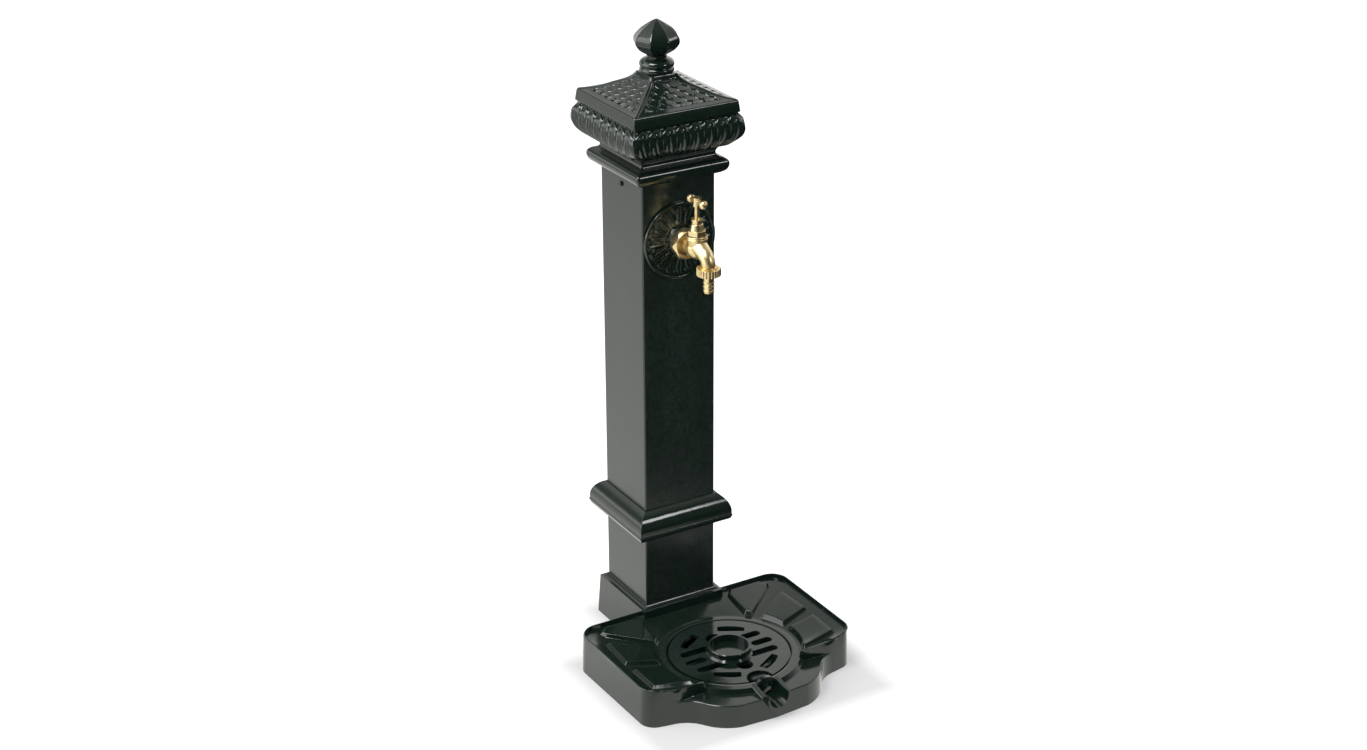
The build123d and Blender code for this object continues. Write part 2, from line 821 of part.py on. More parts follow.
# Tray bolts: heads inside the plinth, nuts under the deck
plinth_inner_y = -hollow_half
tray_nut_y = -(notch_half + tray_wall)
with BuildPart() as tray_bolts:
    with BuildSketch(upright(plinth_inner_y + bolt_head, z=tray_bolt_z)):
        with Locations((-tray_bolt_x, 0), (tray_bolt_x, 0)):
            RegularPolygon(bolt_flats / 2, 6, major_radius=False)
    extrude(amount=bolt_head)
    with BuildSketch(upright(plinth_inner_y, z=tray_bolt_z)):
        with Locations((-tray_bolt_x, 0), (tray_bolt_x, 0)):
            Circle(tray_bolt_r)
    extrude(amount=plinth_inner_y - tray_nut_y + tray_nut_t + tray_bolt_end)
save(tray_bolts, "tray_bolts")
with BuildPart() as tray_nuts:
    with BuildSketch(upright(tray_nut_y, z=tray_bolt_z)):
        with Locations((-tray_bolt_x, 0), (tray_bolt_x, 0)):
            RegularPolygon(bolt_flats / 2, 6, major_radius=False)
            Circle(tray_bolt_r + slip, mode=Mode.SUBTRACT)
    extrude(amount=tray_nut_t)
save(tray_nuts, "tray_nuts")

# Grate: slotted plate with a raised cup and a finger notch
grate_z = well_floor_z
with BuildSketch(level(grate_z, well_y)) as corner_slot:
    Circle(corner_slot_r)
    with Locations(Location((0, 0), corner_slot_angle)):
        with Locations((corner_slot_chord, (corner_slot_from + corner_slot_to) / 2)):
            Rectangle(
                corner_slot_r,
                corner_slot_to - corner_slot_from,
                align=(Align.MIN, Align.CENTER),
                mode=Mode.INTERSECT,
            )
outer_slot = (side_slot_inner_x, side_slot_outer_x)
side_slots = [(-1, *outer_slot), (0, slot_inner_x, slot_outer_x), (1, *outer_slot)]
with BuildPart() as drain_grate:
    with BuildSketch(level(grate_z, well_y)) as grate_plan:
        Circle(grate_r)
        for side_x in (-1, 1):
            for row, start, reach in side_slots:
                with Locations((side_x * (reach + start) / 2, row * slot_pitch)):
                    SlotOverall(reach - start, slot_width, mode=Mode.SUBTRACT)
        with Locations((0, drain_hole_y), (0, -drain_hole_y)):
            Circle(drain_hole_r, mode=Mode.SUBTRACT)
        with Locations((0, -notch_y)):
            Circle(notch_r, mode=Mode.SUBTRACT)
    extrude(amount=grate_plate)
    for flip in (corner_slot.sketch, corner_slot.sketch.mirror(Plane.YZ)):
        extrude(flip, amount=grate_plate, mode=Mode.SUBTRACT)
        back_flip = flip.mirror(Plane.XZ.offset(-column_y - well_y))
        extrude(back_flip, amount=grate_plate, both=True, mode=Mode.SUBTRACT)
    with BuildSketch(upright(well_y)):
        with BuildLine():
            Polyline(
                (0, grate_z),
                (cup_r + cup_foot, grate_z),
                (cup_r + cup_foot, deck_ring_z),
                (cup_r, deck_ring_z + cup_foot),
                (cup_r, cup_rim_z - cup_chamfer),
                (cup_r - cup_chamfer, cup_rim_z),
                (cup_r - cup_wall, cup_rim_z),
                (cup_r - cup_wall, cup_floor_z),
                (0, cup_floor_z),
                close=True,
            )
        make_face()
    revolve(axis=Axis((0, column_y + well_y, 0), (0, 0, 1)))
    with BuildSketch(level(cup_floor_z, well_y)):
        Circle(cup_r - cup_wall)
    extrude(amount=cup_rim_z - cup_floor_z, mode=Mode.SUBTRACT)
save(drain_grate, "drain_grate")

# Rosette: raised rim, ring of petals and a boss round the tap's tail
tap_plane = upright(face_y, z=tap_z)
tap_axis = Axis((0, column_y, tap_z), (0, -1, 0))
with BuildPart() as rosette_plate:
    with BuildSketch(tap_plane):
        Circle(rosette_r)
    extrude(amount=rosette_plate_t)
    with BuildSketch(tap_plane.offset(rosette_plate_t)):
        Circle(rosette_r)
        Circle(rosette_r - rosette_rim, mode=Mode.SUBTRACT)
    extrude(amount=rosette_rim_t - rosette_plate_t, taper=rosette_rim_taper)
    with BuildSketch(tap_plane.offset(rosette_plate_t)):
        with PolarLocations(0, petal_count):
            with BuildLine():
                one_side = ThreePointArc((petal_inner_r, 0), (petal_wide_r, petal_half), (petal_outer_r, 0))
                ThreePointArc(one_side @ 1, (petal_wide_r, -petal_half), one_side @ 0)
            make_face()
    extrude(amount=petal_t)
    with BuildSketch(tap_plane):
        Circle(rosette_boss_r)
    extrude(amount=rosette_t, taper=rosette_boss_taper)
    with BuildSketch(tap_plane):
        Circle(thread_r + slip)
    extrude(amount=rosette_t, mode=Mode.SUBTRACT)
save(rosette_plate, "rosette_plate")

# Bell-shaped hexagon nut against the rosette, dished at its outer end
flange_z = rosette_t
with BuildPart() as tap_escutcheon:
    with BuildSketch(tap_plane.offset(flange_z)):
        RegularPolygon(flange_flats / 2, 6, major_radius=False)
    extrude(amount=flange_t)
    with BuildSketch(sideways(0, face_y)):
        with BuildLine():
            rim = Polyline(
                (-flange_z, tap_z + thread_r + slip),
                (-flange_z, tap_z + flange_r - flange_edge),
                (-flange_z - flange_swell, tap_z + flange_r),
            )
            bell = ThreePointArc(
                rim @ 1,
                (-flange_z - flange_round[0], tap_z + flange_r - flange_round[1]),
                (-flange_z - flange_t, tap_z + flange_r - flange_edge),
            )
            dish = ThreePointArc(
                bell @ 1,
                (-flange_z - flange_t + flange_edge, tap_z + (flange_r + neck_r) / 2),
                (-flange_z - flange_t + flange_dish, tap_z + thread_r + slip),
            )
            Line(dish @ 1, rim @ 0)
        make_face()
    revolve(axis=tap_axis, mode=Mode.INTERSECT)
save(tap_escutcheon, "tap_escutcheon")

# Tap body: threaded tail, globe, spout and the thread for the hose union
valve_y = face_y - valve_out
outlet_y = face_y - outlet_out
valve_axis = Axis((0, column_y + valve_y, 0), (0, 0, 1))
outlet_axis = Axis((0, column_y + outlet_y, 0), (0, 0, 1))
union_seat_z = union_low_z + union_floor + tail_flange_t + hose_washer_t
neck_start = flange_z + flange_t - flange_dish
with BuildPart() as tap_body:
    with BuildSketch(upright(face_y + tail_inside, z=tap_z)):
        Circle(thread_r)
    extrude(amount=tail_inside + neck_start + slip)
    with BuildSketch(tap_plane.offset(neck_start + slip)):
        Circle(neck_r)
    extrude(amount=valve_out - neck_start)
    with BuildSketch(upright(valve_y)):
        with BuildLine():
            belly = ThreePointArc(
                (0, globe_low_z), (globe_cheek[0], globe_low_z + globe_cheek[1]), (globe_r, globe_full_z)
            )
            wall = Line(belly @ 1, (globe_r, globe_top_z - 2 * bead_t))
            low_bead = ThreePointArc(
                wall @ 1, (bead_r, globe_top_z - 1.5 * bead_t), (globe_r, globe_top_z - bead_t)
            )
            high_bead = ThreePointArc(
                low_bead @ 1, (bead_r, globe_top_z - 0.5 * bead_t), (globe_r, globe_top_z)
            )
            Polyline(high_bead @ 1, (0, globe_top_z), (0, globe_low_z))
        make_face()
    revolve(axis=valve_axis)
    with BuildLine(sideways(0)) as spout_path:
        FilletPolyline(
            (valve_y, spout_start_z),
            (outlet_y, spout_knee_z),
            (outlet_y, union_seat_z),
            radius=spout_bend,
        )
    with BuildSketch(Plane(spout_path.line @ 0, z_dir=spout_path.line % 0)):
        Circle(spout_root_r)
    with BuildSketch(Plane(spout_path.line @ 1, z_dir=spout_path.line % 1)):
        Circle(spout_mouth_r)
    sweep(path=spout_path.line, multisection=True)
    with BuildSketch(level(union_seat_z, outlet_y)):
        Circle(union_thread_r)
    extrude(amount=union_thread_t)
    with BuildSketch(level(seat_z, valve_y)):
        Circle(chamber_r)
    extrude(amount=globe_top_z, mode=Mode.SUBTRACT)
    with BuildSketch(level(lower_chamber_z, valve_y)):
        Circle(lower_chamber_r)
    extrude(amount=seat_z - seat_t - lower_chamber_z, mode=Mode.SUBTRACT)
    with BuildSketch(level(lower_chamber_z, valve_y)):
        Circle(seat_r)
    extrude(amount=seat_z - lower_chamber_z, mode=Mode.SUBTRACT)
    with BuildSketch(upright(face_y + tail_inside, z=tap_z)):
        Circle(tap_bore_r)
    extrude(amount=tail_inside + valve_out, mode=Mode.SUBTRACT)
    with BuildSketch(Plane(spout_path.line @ 0, z_dir=spout_path.line % 0)):
        Circle(spout_bore_r)
    sweep(path=spout_path.line, mode=Mode.SUBTRACT)
save(tap_body, "tap_body")

# Bonnet screwed into the globe, on its washer
bonnet_z = globe_top_z + bonnet_washer_t
cone_z = bonnet_z + bonnet_hex_t
bonnet_neck_z = cone_z + bonnet_cone_t
bonnet_top_z = bonnet_neck_z + bonnet_neck_t
guide_z = bonnet_top_z - gland_cup_t - bonnet_neck_t
with BuildPart() as bonnet_washer:
    with BuildSketch(level(globe_top_z, valve_y)):
        Circle(bonnet_flats / 2)
        Circle(chamber_r + slip, mode=Mode.SUBTRACT)
    extrude(amount=bonnet_washer_t)
save(bonnet_washer, "bonnet_washer")
with BuildPart() as tap_bonnet:
    with BuildSketch(level(globe_top_z - bonnet_thread_t, valve_y)):
        Circle(chamber_r - slip)
    extrude(amount=bonnet_thread_t + bonnet_washer_t)
    with BuildSketch(level(bonnet_z, valve_y)):
        RegularPolygon(bonnet_flats / 2, 6, major_radius=False)
    extrude(amount=bonnet_hex_t)
    with BuildSketch(upright(valve_y)):
        with BuildLine():
            Polyline(
                (0, cone_z),
                (bonnet_cone_r, cone_z),
                (bonnet_neck_r + bonnet_shoulder, bonnet_neck_z - bonnet_guide),
                (bonnet_neck_r, bonnet_neck_z),
                (bonnet_neck_r, bonnet_top_z),
                (0, bonnet_top_z),
                close=True,
            )
        make_face()
    revolve(axis=valve_axis)
    with BuildSketch(level(guide_z, valve_y)):
        Circle(gland_cup_r)
    extrude(amount=gland_cup_t + bonnet_neck_t, mode=Mode.SUBTRACT)
    with BuildSketch(level(globe_top_z - bonnet_thread_t, valve_y)):
        Circle(spindle_thread_r + turn_gap)
    extrude(amount=guide_z - bonnet_guide - globe_top_z + bonnet_thread_t, mode=Mode.SUBTRACT)
    with BuildSketch(level(guide_z - bonnet_guide, valve_y)):
        Circle(spindle_r + turn_gap)
    extrude(amount=bonnet_guide, mode=Mode.SUBTRACT)
save(tap_bonnet, "tap_bonnet")

# Gland packing, and the gland nut that squeezes it
packing_z = guide_z
with BuildPart() as gland_packing:
    with BuildSketch(level(packing_z, valve_y)):
        Circle(gland_cup_r - slip)
        Circle(spindle_r + turn_gap, mode=Mode.SUBTRACT)
    extrude(amount=packing_t)
save(gland_packing, "gland_packing")
gland_top_z = bonnet_top_z + gland_top_t
with BuildPart() as gland_nut:
    with BuildSketch(upright(valve_y)):
        with BuildLine():
            Polyline(
                (bonnet_neck_r + slip, bonnet_neck_z + slip),
                (gland_body_r, bonnet_neck_z + slip),
                (gland_body_r, gland_top_z - gland_flange_t),
                (gland_nut_r, gland_top_z - gland_flange_t),
                (gland_nut_r, gland_top_z),
                (spindle_r + turn_gap, gland_top_z),
                (spindle_r + turn_gap, packing_z + packing_t),
                (gland_cup_r - slip, packing_z + packing_t),
                (gland_cup_r - slip, bonnet_top_z + slip),
                (bonnet_neck_r + slip, bonnet_top_z + slip),
                close=True,
            )
        make_face()
    revolve(axis=valve_axis)
save(gland_nut, "gland_nut")

# Jumper with its washer and nut, free to turn under the spindle
washer_low_z = seat_z + rest_gap
jumper_z = washer_low_z + valve_washer_t
with BuildPart() as valve_jumper:
    with BuildSketch(level(jumper_z, valve_y)):
        Circle(jumper_r)
    extrude(amount=jumper_t)
    with BuildSketch(level(jumper_z + jumper_t, valve_y)):
        Circle(jumper_stem_r)
    extrude(amount=jumper_stem)
    with BuildSketch(level(jumper_z, valve_y)):
        Circle(washer_nut_r / 2)
    extrude(amount=-(valve_washer_t + washer_nut_t))
save(valve_jumper, "valve_jumper")
with BuildPart() as valve_washer:
    with BuildSketch(level(washer_low_z, valve_y)):
        Circle(valve_washer_r)
        Circle(washer_nut_r / 2 + slip, mode=Mode.SUBTRACT)
    extrude(amount=valve_washer_t)
save(valve_washer, "valve_washer")
with BuildPart() as washer_nut:
    with BuildSketch(level(washer_low_z - washer_nut_t, valve_y)):
        RegularPolygon(washer_nut_r, 6)
        Circle(washer_nut_r / 2 + slip, mode=Mode.SUBTRACT)
    extrude(amount=washer_nut_t)
save(washer_nut, "washer_nut")

# Spindle: threaded in the bonnet, plain through the gland, up to the handle
spindle_low_z = jumper_z + jumper_t + seat_gap
spindle_top_z = handle_z + handle_hub_t / 2 - handle_cap_t
with BuildPart() as spindle:
    with BuildSketch(level(spindle_low_z, valve_y)):
        Circle(spindle_thread_r)
    extrude(amount=spindle_thread_t)
    with BuildSketch(level(spindle_low_z, valve_y)):
        Circle(spindle_r)
    extrude(amount=spindle_top_z - spindle_low_z)
    with BuildSketch(level(spindle_low_z, valve_y)):
        Circle(jumper_stem_r + turn_gap)
    extrude(amount=jumper_stem + seat_gap, mode=Mode.SUBTRACT)
    with BuildSketch(sideways(0, valve_y)):
        with Locations((0, handle_z)):
            Circle(pin_r + slip)
    extrude(amount=spindle_r, both=True, mode=Mode.SUBTRACT)
save(spindle, "spindle")

# Crutch handle: bar fore and aft with two rounded ends
with BuildPart() as tee_handle:
    with BuildSketch(level(handle_z - handle_hub_t / 2, valve_y)):
        Circle(handle_hub_r)
    extrude(amount=handle_hub_t)
    with BuildSketch(upright(valve_y + handle_half, z=handle_z)):
        Circle(handle_bar_r)
    extrude(amount=2 * handle_half)
    for end_y in (valve_y - handle_half, valve_y + handle_half):
        with BuildSketch(sideways(0, end_y)):
            with Locations((0, handle_z)):
                Circle(handle_end_r)
            with Locations((0, handle_z)):
                Rectangle(2 * handle_end_r, handle_end_r, align=(Align.CENTER, Align.MAX), mode=Mode.SUBTRACT)
        revolve(axis=Axis((0, column_y + end_y, handle_z), (0, 1, 0)))
    with BuildSketch(level(handle_z - handle_hub_t, valve_y)):
        Circle(spindle_r + slip)
    extrude(amount=spindle_top_z + slip - handle_z + handle_hub_t, mode=Mode.SUBTRACT)
    with BuildSketch(sideways(0, valve_y)):
        with Locations((0, handle_z)):
            Circle(pin_r + slip)
    extrude(amount=handle_hub_r, both=True, mode=Mode.SUBTRACT)
save(tee_handle, "tee_handle")
with BuildPart() as handle_pin:
    with BuildSketch(sideways(0, valve_y)):
        with Locations((0, handle_z)):
            Circle(pin_r)
    extrude(amount=handle_hub_r, both=True)
save(handle_pin, "handle_pin")

# Hose union nut: open bowl on top, ribbed outside, lip inward below
tail_flange_z = union_low_z + union_floor
with BuildPart() as hose_union_nut:
    with BuildSketch(level(union_low_z, outlet_y)) as union_plan:
        Circle(union_r - union_rib_r)
        with PolarLocations(union_r - union_rib_r, union_ribs):
            Circle(union_rib_r)
    extrude(amount=union_high_z - union_low_z)
    with BuildSketch(level(tail_flange_z, outlet_y)):
        Circle(union_thread_r + turn_gap)
    extrude(amount=union_high_z, mode=Mode.SUBTRACT)
    with BuildSketch(level(union_low_z, outlet_y)):
        Circle(hose_tail_r + hose_washer_t)
    extrude(amount=union_floor, mode=Mode.SUBTRACT)
save(hose_union_nut, "hose_union_nut")

# Hose washer and barbed hose tail
washer_z = tail_flange_z + turn_gap + tail_flange_t
with BuildPart() as hose_washer:
    with BuildSketch(level(washer_z, outlet_y)):
        Circle(hose_washer_r)
        Circle(hose_bore_r, mode=Mode.SUBTRACT)
    extrude(amount=hose_washer_t - 2 * turn_gap)
save(hose_washer, "hose_washer")
with BuildPart() as hose_tail:
    with BuildSketch(level(tail_flange_z + turn_gap, outlet_y)):
        Circle(tail_flange_r)
    extrude(amount=tail_flange_t)
    with BuildSketch(level(tail_flange_z + turn_gap, outlet_y)):
        Circle(hose_tail_r)
    extrude(amount=-(tail_flange_z + turn_gap - hose_tail_low_z))
    for barb in range(hose_barbs):
        barb_z = hose_tail_low_z + barb * hose_barb_pitch
        with BuildSketch(upright(outlet_y)):
            with BuildLine():
                Polyline(
                    (0, barb_z),
                    (hose_tail_r - hose_barb_tip, barb_z),
                    (hose_barb_r, barb_z + hose_land - hose_barb_step - hose_barb_crest),
                    (hose_barb_r, barb_z + hose_land - hose_barb_step),
                    (hose_tail_r, barb_z + hose_land),
                    (0, barb_z + hose_land),
                    close=True,
                )
            make_face()
        revolve(axis=outlet_axis)
    with BuildSketch(level(hose_tail_low_z, outlet_y)):
        Circle(hose_bore_r)
    extrude(amount=union_high_z - hose_tail_low_z, mode=Mode.SUBTRACT)
save(hose_tail, "hose_tail")

# Wall washer and lock nut hold the tap from inside the post
inner_face_y = -post_inner_half
with BuildPart() as wall_washer:
    with BuildSketch(upright(inner_face_y + wall_washer_t, z=tap_z)):
        Circle(wall_washer_r)
        Circle(thread_r + slip, mode=Mode.SUBTRACT)
    extrude(amount=wall_washer_t)
save(wall_washer, "wall_washer")
lock_nut_y = inner_face_y + wall_washer_t + lock_nut_t
with BuildPart() as tap_lock_nut:
    with BuildSketch(upright(lock_nut_y, z=tap_z)):
        RegularPolygon(lock_nut_flats / 2, 6, major_radius=False)
        Circle(thread_r + slip, mode=Mode.SUBTRACT)
    extrude(amount=lock_nut_t)
save(tap_lock_nut, "tap_lock_nut")

# Elbow on the tap's tail, turning down to the riser
tail_end_y = face_y + tail_inside
socket_y = tail_end_y - elbow_socket
elbow_low_z = tap_z - elbow_drop
pipe_top_z = elbow_low_z + elbow_socket
with BuildPart() as supply_elbow:
    with BuildSketch(upright(0, z=tap_z)):
        Circle(elbow_r)
    extrude(amount=-socket_y)
    with BuildSketch(level(elbow_low_z)):
        Circle(elbow_r)
    extrude(amount=elbow_drop)
    with Locations((0, column_y, tap_z)):
        Sphere(elbow_r)
    with BuildSketch(upright(0, z=tap_z)):
        Circle(tap_bore_r + slip)
    extrude(amount=-socket_y, mode=Mode.SUBTRACT)
    with BuildSketch(upright(tail_end_y, z=tap_z)):
        Circle(thread_r + slip)
    extrude(amount=elbow_socket, mode=Mode.SUBTRACT)
    with BuildSketch(level(elbow_low_z)):
        Circle(tap_bore_r + slip)
    extrude(amount=elbow_drop, mode=Mode.SUBTRACT)
    with BuildSketch(level(elbow_low_z)):
        Circle(pipe_r + slip)
    extrude(amount=elbow_socket, mode=Mode.SUBTRACT)
save(supply_elbow, "supply_elbow")

# Riser, its bottom coupling with the inlet thread, and the foot grommet
pipe_low_z = coupling_z + inlet_thread + washer_t
with BuildPart() as riser_pipe:
    with BuildSketch(level(pipe_low_z)):
        Circle(pipe_r)
        Circle(pipe_bore_r, mode=Mode.SUBTRACT)
    extrude(amount=pipe_top_z - pipe_low_z)
save(riser_pipe, "riser_pipe")
with BuildPart() as inlet_coupling:
    with BuildSketch(level(coupling_z)):
        RegularPolygon(coupling_r, 8, major_radius=False)
    extrude(amount=coupling_height)
    with BuildSketch(level(coupling_z)):
        Circle(inlet_thread_r)
    extrude(amount=inlet_thread, mode=Mode.SUBTRACT)
    with BuildSketch(level(coupling_z)):
        Circle(pipe_bore_r)
    extrude(amount=coupling_height, mode=Mode.SUBTRACT)
    with BuildSketch(level(pipe_low_z)):
        Circle(pipe_r + slip)
    extrude(amount=coupling_height, mode=Mode.SUBTRACT)
save(inlet_coupling, "inlet_coupling")
with BuildPart() as pipe_grommet:
    with BuildSketch(level(post_foot_z)):
        Circle(grommet_r)
    extrude(amount=post_foot_plate)
    with BuildSketch(level(post_foot_z + post_foot_plate)):
        Circle(grommet_flange_r)
    extrude(amount=grommet_flange_t)
    with BuildSketch(level(post_foot_z)):
        Circle(pipe_r + slip)
    extrude(amount=2 * post_foot_plate, mode=Mode.SUBTRACT)
save(pipe_grommet, "pipe_grommet")
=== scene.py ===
"""Looks of a garden water fountain: enamelled cast post, brass bib tap and drip tray.

Places are worked out in millimetres from the post's axis at the ground, and stored in metres.
"""
import json
import math
import bmesh
import bpy
import numpy as np
from mathutils import Matrix, Vector


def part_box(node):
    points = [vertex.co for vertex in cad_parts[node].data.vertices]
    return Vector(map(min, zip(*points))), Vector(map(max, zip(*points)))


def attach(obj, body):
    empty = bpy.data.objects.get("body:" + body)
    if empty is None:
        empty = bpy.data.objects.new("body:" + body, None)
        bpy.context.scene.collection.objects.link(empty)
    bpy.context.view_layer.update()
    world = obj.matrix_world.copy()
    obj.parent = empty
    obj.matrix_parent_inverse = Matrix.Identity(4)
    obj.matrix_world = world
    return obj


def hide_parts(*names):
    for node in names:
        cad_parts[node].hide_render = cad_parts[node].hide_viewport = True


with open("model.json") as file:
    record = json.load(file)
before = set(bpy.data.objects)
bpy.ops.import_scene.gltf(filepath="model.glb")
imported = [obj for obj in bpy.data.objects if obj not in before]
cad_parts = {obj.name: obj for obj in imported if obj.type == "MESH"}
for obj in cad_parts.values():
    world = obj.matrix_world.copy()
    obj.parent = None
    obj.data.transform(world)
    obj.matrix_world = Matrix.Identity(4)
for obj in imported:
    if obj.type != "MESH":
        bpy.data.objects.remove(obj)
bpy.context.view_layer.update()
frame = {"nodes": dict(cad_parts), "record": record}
nodes = frame["nodes"]
body_of_node = {n: b for b, ns in frame["record"]["behaviour"]["bodies"].items() for n in ns}

MM = 0.001
post_low, post_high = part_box("column_tube")
POST_Y = (post_low.y + post_high.y) / 2 / MM
POST_HALF = (post_high.x - post_low.x) / 2 / MM
rosette_low, rosette_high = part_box("rosette_plate")
TAP_Z = (rosette_low.z + rosette_high.z) / 2 / MM
ROSETTE_R = (rosette_high.x - rosette_low.x) / 2 / MM
WELL_Y = -201.6


# materials

GREEN = (0.0042, 0.0104, 0.0072, 1)
GREEN_POOLED = (0.0056, 0.0136, 0.0096, 1)
GREEN_RUBBED = (0.07, 0.09, 0.08, 1)
GREEN_DUST = (0.16, 0.17, 0.15, 1)
BRASS = (0.86, 0.70, 0.38, 1)
BRASS_TARNISH = (0.62, 0.44, 0.19, 1)
BRASS_RUBBED = (0.92, 0.78, 0.48, 1)
STEEL = (0.45, 0.46, 0.46, 1)
STEEL_SPANGLE = (0.62, 0.62, 0.6, 1)
STEEL_RUBBED = (0.75, 0.75, 0.74, 1)
BLACK = (0.018, 0.018, 0.018, 1)
BLACK_BLOOM = (0.05, 0.05, 0.048, 1)
BLACK_DUST = (0.2, 0.19, 0.17, 1)
WHITE = (1, 1, 1, 1)
def sockets(group, ins, outs):
    """Adds the named inputs (name, kind, default) and outputs (name, kind) to a shader group."""
    for name, kind, default in ins:
        item = group.interface.new_socket(name, in_out="INPUT", socket_type=kind)
        if default is not None:
            item.default_value = default
    for name, kind in outs:
        group.interface.new_socket(name, in_out="OUTPUT", socket_type=kind)
    return group.nodes.new("NodeGroupInput"), group.nodes.new("NodeGroupOutput")


def noise(tree, place, scale, detail=3.0, rough=0.5):
    """Noise texture on the given place, its scale in waves per metre."""
    tex = tree.nodes.new("ShaderNodeTexNoise")
    tex.inputs["Detail"].default_value = detail
    tex.inputs["Roughness"].default_value = rough
    if isinstance(scale, (int, float)):
        tex.inputs["Scale"].default_value = scale
    else:
        tree.links.new(scale, tex.inputs["Scale"])
    tree.links.new(place, tex.inputs["Vector"])
    return tex.outputs["Fac"]


def maths(tree, how, a, b=None, clamp=False):
    """One Math node; a and b are sockets or numbers."""
    node = tree.nodes.new("ShaderNodeMath")
    node.operation = how
    node.use_clamp = clamp
    for value, place in ((a, 0), (b, 1)):
        if value is None:
            continue
        if isinstance(value, (int, float)):
            node.inputs[place].default_value = value
        else:
            tree.links.new(value, node.inputs[place])
    return node.outputs[0]


def spread(tree, value, low, high, to_low=0.0, to_high=1.0):
    """Map Range from low..high to to_low..to_high, clamped."""
    node = tree.nodes.new("ShaderNodeMapRange")
    tree.links.new(value, node.inputs["Value"])
    for name, number in (("From Min", low), ("From Max", high), ("To Min", to_low), ("To Max", to_high)):
        if isinstance(number, (int, float)):
            node.inputs[name].default_value = number
        else:
            tree.links.new(number, node.inputs[name])
    return node.outputs["Result"]


def blend_colour(tree, share, a, b):
    """Mixes colour a towards b by share; each is a socket or an RGBA tuple."""
    node = tree.nodes.new("ShaderNodeMix")
    node.data_type = "RGBA"
    tree.links.new(share, node.inputs["Factor"])
    for value, name in ((a, 6), (b, 7)):
        if isinstance(value, tuple):
            node.inputs[name].default_value = value
        else:
            tree.links.new(value, node.inputs[name])
    return node.outputs[2]


def make_skin_group():
    """Orange peel, slow waves and pooled paint of a thick coat: colour, roughness and height."""
    tree = bpy.data.node_groups.new("poured_coat", "ShaderNodeTree")
    ins, outs = sockets(
        tree,
        [("Place", "NodeSocketVector", None), ("Colour", "NodeSocketColor", (0.01, 0.02, 0.015, 1)),
         ("Pooled", "NodeSocketColor", (0.02, 0.035, 0.03, 1)), ("Roughness", "NodeSocketFloat", 0.2),
         ("Peel", "NodeSocketFloat", 500.0), ("Waves", "NodeSocketFloat", 30.0)],
        [("Colour", "NodeSocketColor"), ("Roughness", "NodeSocketFloat"), ("Height", "NodeSocketFloat")],
    )
    place = ins.outputs["Place"]
    peel = noise(tree, place, ins.outputs["Peel"], 2.0)
    waves = noise(tree, place, ins.outputs["Waves"], 2.0)
    pooled = noise(tree, place, 90.0, 4.0, 0.6)
    share = spread(tree, pooled, 0.48, 0.72)
    colour = blend_colour(tree, share, ins.outputs["Colour"], ins.outputs["Pooled"])
    tree.links.new(colour, outs.inputs["Colour"])
    rough = maths(tree, "ADD", ins.outputs["Roughness"], spread(tree, waves, 0.3, 0.7, -0.03, 0.05))
    tree.links.new(rough, outs.inputs["Roughness"])
    height = maths(tree, "ADD", maths(tree, "MULTIPLY", peel, 0.18), waves)
    tree.links.new(height, outs.inputs["Height"])
    return tree


def make_dust_group():
    """Fine dust that settles on faces turned upwards: a mask from 0 to 1."""
    tree = bpy.data.node_groups.new("settled_dust", "ShaderNodeTree")
    ins, outs = sockets(
        tree,
        [("Place", "NodeSocketVector", None), ("Normal", "NodeSocketVector", None),
         ("Amount", "NodeSocketFloat", 0.2)],
        [("Mask", "NodeSocketFloat")],
    )
    split = tree.nodes.new("ShaderNodeSeparateXYZ")
    tree.links.new(ins.outputs["Normal"], split.inputs[0])
    up = spread(tree, split.outputs["Z"], 0.35, 1.0)
    cloud = spread(tree, noise(tree, ins.outputs["Place"], 14.0, 5.0, 0.65), 0.35, 0.75)
    specks = spread(tree, noise(tree, ins.outputs["Place"], 900.0, 1.0), 0.62, 0.75)
    both = maths(tree, "ADD", cloud, maths(tree, "MULTIPLY", specks, 0.6))
    mask = maths(tree, "MULTIPLY", maths(tree, "MULTIPLY", up, both), ins.outputs["Amount"], clamp=True)
    tree.links.new(mask, outs.inputs["Mask"])
    return tree


def make_wear_group():
    """Edge mask from the mesh's own pointedness, broken up by noise: 0 on flats, 1 on rubbed edges."""
    tree = bpy.data.node_groups.new("rubbed_edges", "ShaderNodeTree")
    ins, outs = sockets(
        tree,
        [("Place", "NodeSocketVector", None), ("Pointedness", "NodeSocketFloat", 0.5),
         ("Start", "NodeSocketFloat", 0.55), ("End", "NodeSocketFloat", 0.7)],
        [("Mask", "NodeSocketFloat")],
    )
    edge = spread(tree, ins.outputs["Pointedness"], ins.outputs["Start"], ins.outputs["End"])
    broken = spread(tree, noise(tree, ins.outputs["Place"], 220.0, 4.0, 0.6), 0.35, 0.65)
    tree.links.new(maths(tree, "MULTIPLY", edge, broken, clamp=True), outs.inputs["Mask"])
    return tree


skin_group = make_skin_group()
dust_group = make_dust_group()
wear_group = make_wear_group()


def new_material(name):
    """A material with its Principled shader, and Object coordinates and geometry to build on."""
    material = bpy.data.materials.new(name)
    material.use_nodes = True
    tree = material.node_tree
    shader = tree.nodes["Principled BSDF"]
    place = tree.nodes.new("ShaderNodeTexCoord").outputs["Object"]
    shape = tree.nodes.new("ShaderNodeNewGeometry")
    return material, tree, shader, place, shape


def use_group(tree, group, **values):
    """Places a shader group; each value is a socket to link or a number or colour to set."""
    node = tree.nodes.new("ShaderNodeGroup")
    node.node_tree = group
    for name, value in values.items():
        if isinstance(value, bpy.types.NodeSocket):
            tree.links.new(value, node.inputs[name])
        else:
            node.inputs[name].default_value = value
    return node


